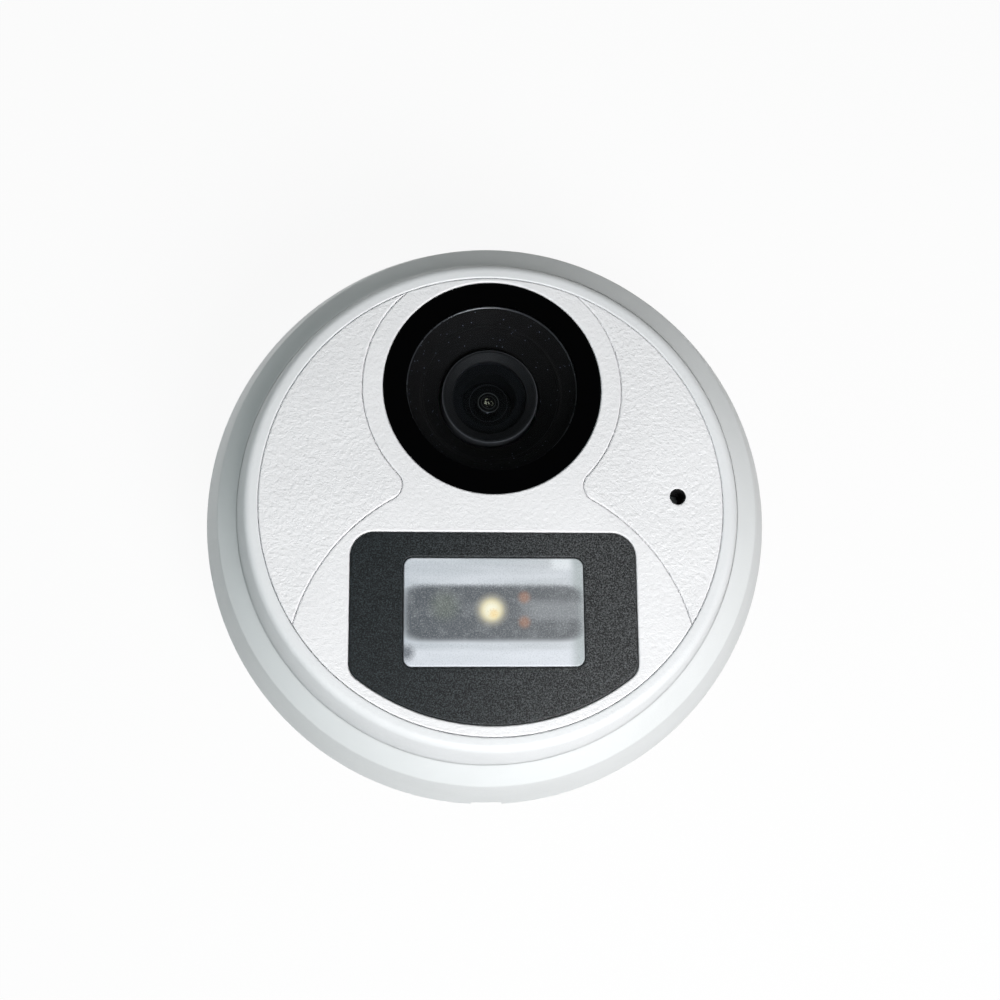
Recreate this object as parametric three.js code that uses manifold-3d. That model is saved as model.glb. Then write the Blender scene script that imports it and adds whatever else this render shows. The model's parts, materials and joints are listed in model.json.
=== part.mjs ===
// Turret camera: a ball with a flat round face, clamped by a trim ring on a round base.
// Millimetres. The base lies flat on Z = 0, its axis is +Z, and +Y is the lens side of the face.
// Inside the ball, heights run from the ball's centre along the axis through its face.

import * as THREE from 'three';
import { mergeVertices } from 'three/addons/utils/BufferGeometryUtils.js';
import Module from 'manifold-3d';

const wasm = await Module();
wasm.setup();

// Clearances
const seatGap = 0.3;
const grooveGap = 0.35;
const ballGap = 0.45;
const cutOverrun = 1;
const samePoint = 0.001;

// Steps round turned pieces and along arcs
const roundSteps = 48;
const smallSteps = 24;
const tinySteps = 10;
const arcSteps = 4;
const shortArcSteps = 2;
const outlineSteps = 8;
const windowSteps = 3;

// Ball and its shells
const ballRadius = 46;
const faceInset = 3;
const faceEdgeRound = 1.2;
const shellWall = 2;
const partingHeight = 3;
const rearFlatInset = 6;
const rearWall = 3.2;
const coverLedgeWidth = 2.6;
const coverLedgeThickness = 2;
const chassisLedgeWidth = 2.8;
const chassisLedgeThickness = 2.2;
const sealWidth = 1.6;
const sealHeight = 4.2;
const sealWallGap = 0.6;

// Face cover and the centre panel set into it
const rimWidth = 2.5;
const coverThickness = 3.2;
const panelThickness = 1.25;
const panelNeckWidth = 3.5;
const panelFootInset = 9.6;
const panelSideMargin = 1.95;
const panelNeckRound = 3;
const plateSink = 0.15;

// Microphone
const micHoleRadius = 1.35;
const micInset = 7.9;
const micRise = 0.7;
const micRadius = 3;
const micLength = 2.9;
const bootWall = 0.9;
const bootLip = 0.6;
const bootHoleRadius = 0.9;

// Lens window, hood, barrel and glass
const windowEdgeMargin = 0.7;
const windowFootRise = 1;
const windowThickness = 1.2;
const windowLedgeWidth = 1.6;
const hoodInset = 2.8;
const hoodRimWidth = 1.4;
const hoodThroatGap = 0.6;
const hoodThroatDrop = 6.6;
const barrelHeadRadius = 8.8;
const barrelHeadHeight = 7.2;
const barrelChamfer = 0.5;
const threadRadius = 6.05;
const threadLength = 10.2;
const frontGlassRadius = 6.6;
const frontGlassDrop = 2.4;
const frontGlassEdge = 0.5;
const frontGlassRise = 1.4;
const middleGlassRadius = 4.7;
const middleGlassDrop = 8.4;
const middleGlassEdge = 0.6;
const middleGlassRise = 1.3;
const rearGlassRadius = 3.7;
const rearGlassEdge = 0.6;
const rearGlassRise = 1.1;
const barrelLipWidth = 0.8;
const barrelLipThickness = 1;
const holderTubeRadius = 7.3;
const holderBase = 15;
const holderBaseThickness = 2.2;

// Sensor and its board
const sensorWidth = 8;
const sensorLength = 6.4;
const sensorThickness = 0.9;
const sensorBoardSize = 22;
const boardThickness = 1.6;
const sensorPostOffset = 9.2;
const sensorPostRadius = 1.5;

// Chassis plate and its posts
const chassisWallGap = 2.7;
const chassisThickness = 2.5;
const chassisLensHoleRadius = 11;
const postCircleRadius = 18;
const postAngles = [26, 154, 270];
const postRadius = 4;
const postTipRadius = 3;
const lensDepthBelowChassis = 13.1;

// Main board with its processor, heat pad and connector
const mainBoardRise = 11;
const mainBoardWallGap = 3.3;
const processorSize = 12;
const processorThickness = 1.4;
const heatPadSize = 10;
const connectorWidth = 10;
const connectorLength = 3.6;
const connectorHeight = 3.8;
const connectorAngle = -58;

// Light panel, diffuser, reflector and light board
const lightPanelSideWidth = 9.2;
const lightPanelBridge = 7;
const lightPanelFootMargin = 1.9;
const lightPanelTopRound = 4;
const lightPanelFootRound = 3;
const diffuserWidth = 30.8;
const diffuserTopMargin = 4.4;
const diffuserFootMargin = 9.8;
const diffuserRound = 1.4;
const diffuserLedge = 1.3;
const reflectorHeight = 6;
const reflectorWall = 1.8;
const reflectorSideSlope = 0.8;
const reflectorFootHeight = 9.1;
const lightBoardTab = 4.8;
const lightBoardHeight = 12;
const lightBoardThickness = 1.2;
const lightPostRadius = 2.2;
const lightPostInset = 2.6;
const lightSize = 3;
const lightBaseHeight = 0.6;
const lightDomeRadius = 1.4;
const lightRowRise = 0.5;
const secondLightSide = 8.3;
const chipSide = 5.5;
const chipSpacing = 4.3;
const chipWidth = 2.2;
const chipHeight = 1.4;
const chipThickness = 1.1;

// Screws
const shellScrewHeadRadius = 2.7;
const shellScrewHeadHeight = 1.5;
const shellScrewRadius = 1.2;
const shellScrewLength = 8;
const boardScrewHeadRadius = 1.5;
const boardScrewHeadHeight = 0.9;
const boardScrewRadius = 0.7;
const boardScrewLength = 4.2;

// Gland, nut and grommet in the ball's tail
const glandNeckRadius = 6.8;
const glandFlangeWidth = 3.2;
const glandFlangeThickness = 2.7;
const glandNeckLength = 6.6;
const glandWall = 1.4;
const nutWidth = 2.4;
const nutClearance = 0.5;
const nutThickness = 2.2;
const nutSides = 6;
const grommetWall = 1.4;
const grommetProud = 0.6;
const grommetLength = 7.4;

// Base, swivel seat and trim ring
const ringWidth = 9;
const ringFrontWidth = 3.2;
const ringFrontDrop = 4.7;
const ringRise = 10.7;
const ringDrop = 13.4;
const ringBand = 0.6;
const ringWall = 2.8;
const lipThickness = 3.2;
const skirtWall = 1.6;
const skirtLength = 6;
const notchWidth = 6;
const notchHeight = 2.6;
const notchDepth = 1.2;
const gripLow = -1;
const gripHigh = 3;
const baseInset = 0.8;
const baseWall = 2.5;
const baseEdgeRound = 0.8;
const floorThickness = 2.5;
const floorClearance = 0.8;
const cableHoleRadius = 9;
const fixingHoleRadius = 2.3;
const fixingCircleRadius = 26;
const fixingHoleCount = 3;
const firstFixingHoleAngle = 90;
const seatRimWidth = 1.76;
const seatRise = 14;
const seatHeight = 10;
const socketWidth = 4.5;
const collarWall = 2;
const collarHeight = 4;

// Rest position of the ball, in degrees: how far it leans, and towards which side
const restTilt = 6;
const restTiltSide = 57;

// Sizes that follow from the ones above
const ballCentreHeight = floorThickness + floorClearance + ballRadius;
const faceRadius = ballRadius - faceInset;
const faceHeight = sphereAt(ballRadius, faceRadius);
const seamRadius = faceRadius - rimWidth;
const innerRadius = ballRadius - shellWall;
const rearFlatDepth = ballRadius - rearFlatInset;
const chassisRadius = innerRadius - chassisWallGap;
const micSide = seamRadius - micInset;
const windowRadius = (seamRadius - windowEdgeMargin - windowFootRise) / 2;
const lensRise = windowRadius + windowFootRise;
const hoodRadius = windowRadius - hoodInset;
const hoodMouthRadius = hoodRadius - hoodRimWidth;
const hoodThroatRadius = barrelHeadRadius + hoodThroatGap;
const lightPanelHalfWidth = diffuserWidth / 2 + lightPanelSideWidth;
const lightPanelTopDrop = lightPanelBridge - windowFootRise;
const lightPanelArcRadius = seamRadius - lightPanelFootMargin;
const diffuserTopDrop = lightPanelTopDrop + diffuserTopMargin;
const diffuserHeight = lightPanelArcRadius - diffuserTopDrop - diffuserFootMargin;
const lightDrop = diffuserTopDrop + diffuserHeight / 2;
const panelNeckRadius = windowRadius + panelNeckWidth;
const panelFootDrop = seamRadius - panelFootInset;
const panelCornerX = lightPanelHalfWidth - lightPanelTopRound;
const panelCornerY = panelFootDrop - lightPanelTopDrop - lightPanelTopRound;
const panelFootRadius = Math.hypot(panelCornerX, panelCornerY) + lightPanelTopRound + panelSideMargin;
const reflectorFootWidth = diffuserWidth - 2 * reflectorSideSlope;
const lightBoardWidth = diffuserWidth + 2 * (reflectorWall + lightBoardTab);
const lightPostSide = lightBoardWidth / 2 - lightPostInset;
const glandFlangeRadius = glandNeckRadius + glandFlangeWidth;
const nutRadius = glandNeckRadius + nutWidth;
const processorRise = nutRadius + nutClearance + processorSize / 2;
const connectorDrop = nutRadius + nutClearance + connectorLength / 2;
const ringRadius = ballRadius + ringWidth;
const ringFrontRadius = ballRadius + ringFrontWidth;
const skirtRadius = ringRadius - baseInset - baseWall - seatGap;
const seatFootDrop = ballRadius - seatRise;
const seatTopDrop = seatFootDrop - seatHeight;
const seatRadius = sphereAt(ballRadius + seatGap, seatTopDrop) + seatRimWidth;
const coverFoot = faceHeight - coverThickness;
const plateFoot = faceHeight - panelThickness;
const pocketFloor = plateFoot - seatGap;
const chassisTop = chassisThickness;
const barrelTop = chassisTop + barrelHeadHeight;
const boardTop = -lensDepthBelowChassis - seatGap;
const reflectorTop = coverFoot - seatGap;
const reflectorFoot = reflectorTop - reflectorHeight;
const lightBoardTop = reflectorFoot - seatGap;
const mainBoardDrop = rearFlatDepth - mainBoardRise;
const mainBoardTop = -mainBoardDrop - seatGap;
const mainBoardFoot = mainBoardTop - boardThickness;
const mainBoardRadius = sphereAt(innerRadius, mainBoardFoot) - mainBoardWallGap;
const rearFloor = rearWall - rearFlatDepth;

// Finishes
const finishes = {
  whiteShell: { color: 0xe6e9ea, roughness: 0.5, metalness: 0 },
  whiteCover: { color: 0xe9ebec, roughness: 0.6, metalness: 0 },
  charcoal: { color: 0x303234, roughness: 0.7, metalness: 0 },
  blackGloss: { color: 0x050505, roughness: 0.08, metalness: 0 },
  blackMatte: { color: 0x111112, roughness: 0.8, metalness: 0 },
  blackMetal: { color: 0x1a1b1c, roughness: 0.35, metalness: 0.6 },
  frosted: { color: 0xd4d8e0, roughness: 0.5, metalness: 0 },
  lensGlass: { color: 0x141820, roughness: 0.05, metalness: 0 },
  reflectorWhite: { color: 0xf1f2f2, roughness: 0.4, metalness: 0 },
  rubber: { color: 0x1c1c1d, roughness: 0.9, metalness: 0 },
  boardGreen: { color: 0x1f5a37, roughness: 0.5, metalness: 0 },
  boardDark: { color: 0x5b5e63, roughness: 0.5, metalness: 0 },
  chip: { color: 0x1b1b1d, roughness: 0.4, metalness: 0 },
  amber: { color: 0xd98a3a, roughness: 0.5, metalness: 0 },
  warmLight: { color: 0xf5e3b3, roughness: 0.3, metalness: 0 },
  darkLight: { color: 0x3e4438, roughness: 0.2, metalness: 0 },
  castMetal: { color: 0x9a9da0, roughness: 0.5, metalness: 0.8 },
  steel: { color: 0xb4b6b8, roughness: 0.35, metalness: 1 },
  padGrey: { color: 0x8d94a0, roughness: 0.9, metalness: 0 },
  ivory: { color: 0xe2dcc8, roughness: 0.5, metalness: 0 },
};

// The radius of a ball's surface at a height from its centre.
function sphereAt(radius, height) {
  return Math.sqrt(radius ** 2 - height ** 2);
}

// Points [radius, height] on a ball's surface from one height to another.
function sphereArc(radius, from, to, steps = arcSteps) {
  const start = Math.asin(from / radius);
  const end = Math.asin(to / radius);
  const points = [];
  for (let i = 0; i <= steps; i += 1) {
    const angle = start + ((end - start) * i) / steps;
    points.push([radius * Math.cos(angle), radius * Math.sin(angle)]);
  }
  return points;
}

// Points on a curve from one point to another, drawn towards a corner.
function roundedCorner(from, corner, to, steps = arcSteps) {
  const curve = new THREE.QuadraticBezierCurve(
    new THREE.Vector2(...from),
    new THREE.Vector2(...corner),
    new THREE.Vector2(...to),
  );
  return curve.getPoints(steps).map((point) => [point.x, point.y]);
}

// A piece turned about Z from a closed outline of [radius, height] points.
function turned(outline, steps = roundSteps) {
  const points = outline.map(([radius, height]) => new THREE.Vector2(radius, height));
  if (THREE.ShapeUtils.area(points) < 0) {
    points.reverse();
  }
  points.push(points[0].clone());
  const geometry = new THREE.LatheGeometry(points, steps);
  geometry.rotateX(Math.PI / 2);
  return geometry;
}

// A flat ring or, with no hole, a disc.
function ring(holeRadius, radius, low, high, steps = roundSteps) {
  return turned([[holeRadius, low], [radius, low], [radius, high], [holeRadius, high]], steps);
}

function disc(radius, low, high, steps = smallSteps) {
  const geometry = new THREE.CylinderGeometry(radius, radius, high - low, steps);
  geometry.rotateX(Math.PI / 2);
  geometry.translate(0, 0, (low + high) / 2);
  return geometry;
}

// A box given by its middle in X and Y and by its two heights.
function block(x, y, width, depth, low, high) {
  const geometry = new THREE.BoxGeometry(width, depth, high - low);
  geometry.translate(x, y, (low + high) / 2);
  return geometry;
}

// The corners of an outline of arcs, each corner once.
function cornersOf(outline, steps) {
  const points = outline.getPoints(steps);
  return points.filter((point, i) => {
    const next = points[(i + 1) % points.length];
    return point.distanceTo(next) > samePoint;
  });
}

// A flat outline made into a plate between two heights.
function plate(outline, low, high, steps = outlineSteps) {
  const shape = new THREE.Shape(cornersOf(outline, steps));
  const geometry = new THREE.ExtrudeGeometry(shape, { depth: high - low, bevelEnabled: false });
  geometry.translate(0, 0, low);
  return geometry;
}

function moved(geometry, x, y, z = 0) {
  return geometry.clone().translate(x, y, z);
}

// Solids for cutting and joining
function solidOf(geometry) {
  const bare = geometry.index ? geometry.toNonIndexed() : geometry.clone();
  bare.deleteAttribute('normal');
  bare.deleteAttribute('uv');
  const merged = mergeVertices(bare);
  const corners = [];
  for (let i = 0; i < merged.index.count; i += 3) {
    const triangle = [merged.index.getX(i), merged.index.getX(i + 1), merged.index.getX(i + 2)];
    if (new Set(triangle).size === triangle.length) {
      corners.push(...triangle);
    }
  }
  return new wasm.Manifold(new wasm.Mesh({
    numProp: 3,
    vertProperties: new Float32Array(merged.attributes.position.array),
    triVerts: new Uint32Array(corners),
  }));
}

function geometryOf(solid) {
  const mesh = solid.getMesh();
  const geometry = new THREE.BufferGeometry();
  geometry.setAttribute('position', new THREE.BufferAttribute(mesh.vertProperties, 3));
  geometry.setIndex(new THREE.BufferAttribute(mesh.triVerts, 1));
  return geometry.toNonIndexed();
}

function cut(body, ...tools) {
  const left = tools.reduce((solid, tool) => solid.subtract(solidOf(tool)), solidOf(body));
  return geometryOf(left);
}

function joined(body, ...others) {
  const whole = others.reduce((solid, other) => solid.add(solidOf(other)), solidOf(body));
  return geometryOf(whole);
}

function piece(name, geometry, finish) {
  geometry.computeVertexNormals();
  const mesh = new THREE.Mesh(geometry, new THREE.MeshStandardMaterial(finishes[finish]));
  mesh.name = name;
  return mesh;
}

// Places on a circle, at angles in degrees.
function onCircle(radius, angles) {
  return angles.map((angle) => {
    const turn = THREE.MathUtils.degToRad(angle);
    return [radius * Math.cos(turn), radius * Math.sin(turn)];
  });
}

function evenAngles(count, start = 0) {
  return Array.from({ length: count }, (_, i) => start + (360 * i) / count);
}

// The hourglass outline of the centre panel, grown outwards for the pocket that holds it.
function hourglassShape(grow = 0) {
  const neckRadius = panelNeckRadius + grow;
  const footRadius = panelFootRadius + grow;
  const edgeRadius = seamRadius + grow;
  const roundRadius = panelNeckRound - grow;
  const neckToRound = neckRadius + roundRadius;
  const footToRound = footRadius + roundRadius;
  const span = lensRise + panelFootDrop;
  const roundY = (neckToRound ** 2 - footToRound ** 2 + panelFootDrop ** 2 - lensRise ** 2) / (-2 * span);
  const roundX = Math.sqrt(neckToRound ** 2 - (roundY - lensRise) ** 2);
  const neckTopY = (edgeRadius ** 2 - neckRadius ** 2 + lensRise ** 2) / (2 * lensRise);
  const footTopY = -(edgeRadius ** 2 - footRadius ** 2 + panelFootDrop ** 2) / (2 * panelFootDrop);
  const neckTopX = sphereAt(edgeRadius, neckTopY);
  const footTopX = sphereAt(edgeRadius, footTopY);
  const edgeTop = Math.atan2(neckTopY, neckTopX);
  const edgeFoot = Math.atan2(footTopY, footTopX);
  const neckStart = Math.atan2(neckTopY - lensRise, neckTopX);
  const neckEnd = Math.atan2(roundY - lensRise, roundX);
  const footStart = Math.atan2(roundY + panelFootDrop, roundX);
  const footEnd = Math.atan2(footTopY + panelFootDrop, footTopX);
  const shape = new THREE.Shape();
  shape.absarc(0, 0, edgeRadius, Math.PI - edgeTop, edgeTop, true);
  shape.absarc(0, lensRise, neckRadius, neckStart, neckEnd, true);
  shape.absarc(roundX, roundY, roundRadius, neckEnd + Math.PI, footStart + Math.PI, false);
  shape.absarc(0, -panelFootDrop, footRadius, footStart, footEnd, true);
  shape.absarc(0, 0, edgeRadius, edgeFoot, -Math.PI - edgeFoot, true);
  shape.absarc(0, -panelFootDrop, footRadius, Math.PI - footEnd, Math.PI - footStart, true);
  shape.absarc(-roundX, roundY, roundRadius, -footStart, -neckEnd, false);
  shape.absarc(0, lensRise, neckRadius, Math.PI - neckEnd, Math.PI - neckStart, true);
  return shape;
}

// The light panel's outline: straight top and sides, and a foot that follows the face's edge.
function lightPanelShape(grow = 0) {
  const halfWidth = lightPanelHalfWidth + grow;
  const top = grow - lightPanelTopDrop;
  const arcRadius = lightPanelArcRadius + grow;
  const topRound = lightPanelTopRound + grow;
  const footRound = lightPanelFootRound + grow;
  const footX = halfWidth - footRound;
  const footY = -Math.sqrt((arcRadius - footRound) ** 2 - footX ** 2);
  const footAngle = Math.atan2(footY, footX);
  const shape = new THREE.Shape();
  shape.absarc(halfWidth - topRound, top - topRound, topRound, Math.PI / 2, 0, true);
  shape.absarc(footX, footY, footRound, 0, footAngle, true);
  shape.absarc(0, 0, arcRadius, footAngle, -Math.PI - footAngle, true);
  shape.absarc(-footX, footY, footRound, -Math.PI - footAngle, -Math.PI, true);
  shape.absarc(topRound - halfWidth, top - topRound, topRound, Math.PI, Math.PI / 2, true);
  return shape;
}

// A rounded rectangle about the middle of the light window.
function lightWindowShape(grow = 0) {
  const x = diffuserWidth / 2 + grow;
  const y = diffuserHeight / 2 + grow;
  const round = diffuserRound + Math.max(grow, -diffuserRound / 2);
  const shape = new THREE.Shape();
  shape.absarc(x - round, y - round - lightDrop, round, Math.PI / 2, 0, true);
  shape.absarc(x - round, round - y - lightDrop, round, 0, -Math.PI / 2, true);
  shape.absarc(round - x, round - y - lightDrop, round, -Math.PI / 2, -Math.PI, true);
  shape.absarc(round - x, y - round - lightDrop, round, Math.PI, Math.PI / 2, true);
  return shape;
}

// Ball shells
function frontShell() {
  const low = partingHeight + seatGap / 2;
  const roundStart = faceHeight - faceEdgeRound;
  const bore = seamRadius + grooveGap;
  const ledgeTop = coverFoot - seatGap;
  const ledgeFoot = ledgeTop - coverLedgeThickness;
  const outline = [
    ...sphereArc(ballRadius, low, roundStart),
    ...roundedCorner(
      [sphereAt(ballRadius, roundStart), roundStart],
      [faceRadius, faceHeight],
      [faceRadius - faceEdgeRound, faceHeight],
    ).slice(1),
    [bore, faceHeight],
    [bore, ledgeTop],
    [seamRadius - coverLedgeWidth, ledgeTop],
    [seamRadius - coverLedgeWidth, ledgeFoot],
    ...sphereArc(innerRadius, ledgeFoot, low),
  ];
  return piece('front_shell', turned(outline), 'whiteShell');
}

function rearShell() {
  const high = partingHeight - seatGap / 2;
  const ledgeTop = -seatGap;
  const ledgeFoot = ledgeTop - chassisLedgeThickness;
  const ledgeRadius = chassisRadius - chassisLedgeWidth;
  const glandHole = glandNeckRadius + seatGap;
  const outline = [
    ...sphereArc(ballRadius, -rearFlatDepth, high, arcSteps * 2),
    ...sphereArc(innerRadius, high, ledgeTop, shortArcSteps),
    [ledgeRadius, ledgeTop],
    [ledgeRadius, ledgeFoot],
    ...sphereArc(innerRadius, ledgeFoot, rearFloor, arcSteps + shortArcSteps),
    [glandHole, rearFloor],
    [glandHole, -rearFlatDepth],
  ];
  const below = -rearFlatDepth - cutOverrun;
  const headTop = shellScrewHeadHeight + seatGap - rearFlatDepth;
  const holes = onCircle(postCircleRadius, postAngles).flatMap(([x, y]) => [
    moved(disc(shellScrewRadius + seatGap, below, rearFloor + cutOverrun, tinySteps), x, y),
    moved(disc(shellScrewHeadRadius + seatGap, below, headTop, tinySteps), x, y),
  ]);
  return piece('rear_shell', cut(turned(outline), ...holes), 'whiteShell');
}

function shellSeal() {
  const radius = innerRadius - sealWallGap;
  return piece('shell_seal', ring(radius - sealWidth, radius, 0, sealHeight), 'rubber');
}

// Face pieces
function faceCover() {
  const body = disc(seamRadius, coverFoot, faceHeight, roundSteps);
  const above = faceHeight + cutOverrun;
  const below = coverFoot - cutOverrun;
  const pocket = plate(hourglassShape(grooveGap), pocketFloor, above);
  const lensHole = moved(disc(windowRadius - windowLedgeWidth, below, above, roundSteps), 0, lensRise);
  const lightHole = plate(lightWindowShape(-diffuserLedge), below, above, windowSteps);
  const micHole = moved(disc(micHoleRadius, below, above, tinySteps), micSide, micRise);
  return piece('face_cover', cut(body, pocket, lensHole, lightHole, micHole), 'whiteCover');
}

function centrePanel() {
  const windowHole = new THREE.Shape();
  windowHole.absarc(0, lensRise, windowRadius + grooveGap, 0, 2 * Math.PI, false);
  const body = plate(hourglassShape(), plateFoot, faceHeight);
  const above = faceHeight + cutOverrun;
  const below = plateFoot - cutOverrun;
  return piece('centre_panel', cut(
    body,
    plate(windowHole, below, above, roundSteps),
    plate(lightPanelShape(grooveGap), below, above),
  ), 'whiteCover');
}

function lensWindow() {
  const top = faceHeight - plateSink;
  const glass = moved(disc(windowRadius, top - windowThickness, top, roundSteps), 0, lensRise);
  return piece('lens_window', glass, 'blackGloss');
}

function lightPanel() {
  const top = faceHeight - plateSink;
  const windowHole = plate(lightWindowShape(seatGap), plateFoot - cutOverrun, top + cutOverrun, windowSteps);
  return piece('light_panel', cut(plate(lightPanelShape(), plateFoot, top), windowHole), 'charcoal');
}

function lightDiffuser() {
  const top = faceHeight - plateSink;
  return piece('light_diffuser', plate(lightWindowShape(), plateFoot, top, windowSteps), 'frosted');
}

// Microphone and its rubber boot under the face cover
function microphone() {
  const top = coverFoot - seatGap - bootLip - seatGap;
  const capsule = moved(disc(micRadius, top - micLength, top, tinySteps), micSide, micRise);
  return piece('microphone', capsule, 'steel');
}

function microphoneBoot() {
  const top = coverFoot - seatGap;
  const foot = top - bootLip - seatGap - micLength;
  const bore = micRadius + seatGap;
  const outline = [
    [bore, foot],
    [bore + bootWall, foot],
    [bore + bootWall, top],
    [bootHoleRadius, top],
    [bootHoleRadius, top - bootLip],
    [bore, top - bootLip],
  ];
  return piece('microphone_boot', moved(turned(outline, tinySteps), micSide, micRise), 'rubber');
}

// Lens, from the hood behind the window down to the sensor
function lensHood() {
  const foot = chassisTop + seatGap;
  const top = faceHeight - plateSink - windowThickness - seatGap;
  const outline = [
    [hoodThroatRadius, foot],
    [hoodRadius, foot],
    [hoodRadius, top],
    [hoodMouthRadius, top],
    [hoodThroatRadius, top - hoodThroatDrop],
  ];
  return piece('lens_hood', moved(turned(outline, roundSteps), 0, lensRise), 'blackMatte');
}

function lensBarrel() {
  const headFoot = chassisTop - seatGap;
  const foot = headFoot - threadLength;
  const frontBore = frontGlassRadius + seatGap;
  const middleBore = middleGlassRadius + seatGap;
  const rearBore = rearGlassRadius + seatGap;
  const frontShelf = barrelTop - frontGlassDrop;
  const middleShelf = barrelTop - middleGlassDrop;
  const rearShelf = foot + barrelLipThickness;
  const outline = [
    [rearBore - barrelLipWidth, foot],
    [threadRadius, foot],
    [threadRadius, headFoot],
    [barrelHeadRadius, headFoot],
    [barrelHeadRadius, barrelTop - barrelChamfer],
    [barrelHeadRadius - barrelChamfer, barrelTop],
    [frontBore, barrelTop],
    [frontBore, frontShelf],
    [middleBore, frontShelf],
    [middleBore, middleShelf],
    [rearBore, middleShelf],
    [rearBore, rearShelf],
    [rearBore - barrelLipWidth, rearShelf],
  ];
  return piece('lens_barrel', moved(turned(outline, smallSteps), 0, lensRise), 'blackMetal');
}

// A lens element: flat below, with a straight edge and a domed front.
function glassElement(name, radius, edge, rise, foot) {
  const dome = [];
  for (let i = 1; i <= arcSteps; i += 1) {
    const angle = (Math.PI / 2) * (i / arcSteps);
    dome.push(new THREE.Vector2(radius * Math.cos(angle), edge + (rise - edge) * Math.sin(angle)));
  }
  dome[dome.length - 1].x = 0;
  const back = [new THREE.Vector2(0, 0), new THREE.Vector2(radius, 0), new THREE.Vector2(radius, edge)];
  const geometry = new THREE.LatheGeometry([...back, ...dome], smallSteps);
  geometry.rotateX(Math.PI / 2);
  return piece(name, moved(geometry, 0, lensRise, foot), 'lensGlass');
}

function lensElements() {
  const frontFoot = barrelTop - frontGlassDrop + seatGap;
  const middleFoot = barrelTop - middleGlassDrop + seatGap;
  const rearFoot = chassisTop - seatGap - threadLength + barrelLipThickness + seatGap;
  return [
    glassElement('front_lens', frontGlassRadius, frontGlassEdge, frontGlassRise, frontFoot),
    glassElement('middle_lens', middleGlassRadius, middleGlassEdge, middleGlassRise, middleFoot),
    glassElement('rear_lens', rearGlassRadius, rearGlassEdge, rearGlassRise, rearFoot),
  ];
}

function lensHolder() {
  const foot = -lensDepthBelowChassis;
  const top = chassisTop - seatGap - seatGap;
  const base = block(0, lensRise, holderBase, holderBase, foot, foot + holderBaseThickness);
  const tube = moved(disc(holderTubeRadius, foot, top), 0, lensRise);
  const bore = moved(disc(threadRadius + seatGap, foot - cutOverrun, top + cutOverrun), 0, lensRise);
  return piece('lens_holder', cut(joined(base, tube), bore), 'blackMatte');
}

function imageSensor() {
  const foot = boardTop + seatGap;
  return piece(
    'image_sensor',
    block(0, lensRise, sensorWidth, sensorLength, foot, foot + sensorThickness),
    'chip',
  );
}

// The places of the two posts that hold the sensor board
function sensorPostPlaces() {
  return [
    [sensorPostOffset, lensRise + sensorPostOffset],
    [-sensorPostOffset, lensRise - sensorPostOffset],
  ];
}

function sensorBoard() {
  const foot = boardTop - boardThickness;
  const board = block(0, lensRise, sensorBoardSize, sensorBoardSize, foot, boardTop);
  const holes = sensorPostPlaces().map(([x, y]) => (
    moved(disc(boardScrewRadius + seatGap, foot - cutOverrun, boardTop + cutOverrun, tinySteps), x, y)
  ));
  return piece('sensor_board', cut(board, ...holes), 'boardGreen');
}

// Chassis: the plate across the ball, with posts for the boards and for the rear shell's screws
function chassis() {
  const plateBody = disc(chassisRadius, 0, chassisTop, roundSteps);
  const lensHole = moved(disc(chassisLensHoleRadius, -cutOverrun, chassisTop + cutOverrun), 0, lensRise);
  const posts = onCircle(postCircleRadius, postAngles).flatMap(([x, y]) => [
    moved(disc(postRadius, -mainBoardDrop, chassisTop, tinySteps), x, y),
    moved(disc(postTipRadius, rearFloor + seatGap, chassisTop, tinySteps), x, y),
  ]);
  const sensorPosts = sensorPostPlaces().map(([x, y]) => (
    moved(disc(sensorPostRadius, -lensDepthBelowChassis, chassisTop, tinySteps), x, y)
  ));
  const lightPosts = lightPostPlaces().map(([x, y]) => (
    moved(disc(lightPostRadius, 0, lightBoardTop - lightBoardThickness - seatGap, tinySteps), x, y)
  ));
  const shellScrewHoles = onCircle(postCircleRadius, postAngles).map(([x, y]) => (
    moved(disc(shellScrewRadius + seatGap, rearFloor, rearFloor + shellScrewLength, tinySteps), x, y)
  ));
  const sensorScrewHoles = sensorPostPlaces().map(([x, y]) => (
    moved(
      disc(
        boardScrewRadius + seatGap,
        -lensDepthBelowChassis - cutOverrun,
        boardScrewLength - lensDepthBelowChassis,
        tinySteps,
      ),
      x,
      y,
    )
  ));
  const lightScrewHoles = lightPostPlaces().map(([x, y]) => (
    moved(
      disc(boardScrewRadius + seatGap, -cutOverrun, lightBoardTop, tinySteps),
      x,
      y,
    )
  ));
  const solid = joined(plateBody, ...posts, ...sensorPosts, ...lightPosts);
  return piece(
    'chassis',
    cut(solid, lensHole, ...shellScrewHoles, ...sensorScrewHoles, ...lightScrewHoles),
    'castMetal',
  );
}

// Main board and what it carries
function mainBoard() {
  const board = disc(mainBoardRadius, mainBoardFoot, mainBoardTop, roundSteps);
  const below = mainBoardFoot - cutOverrun;
  const above = mainBoardTop + cutOverrun;
  const holes = onCircle(postCircleRadius, postAngles).map(([x, y]) => (
    moved(disc(postTipRadius + seatGap, below, above, tinySteps), x, y)
  ));
  return piece('main_board', cut(board, ...holes), 'boardGreen');
}

function processor() {
  const top = mainBoardFoot - seatGap;
  return piece(
    'processor',
    block(0, processorRise, processorSize, processorSize, top - processorThickness, top),
    'chip',
  );
}

function heatPad() {
  const top = mainBoardFoot - seatGap - processorThickness - seatGap;
  return piece(
    'heat_pad',
    block(0, processorRise, heatPadSize, heatPadSize, rearFloor + seatGap, top),
    'padGrey',
  );
}

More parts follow.
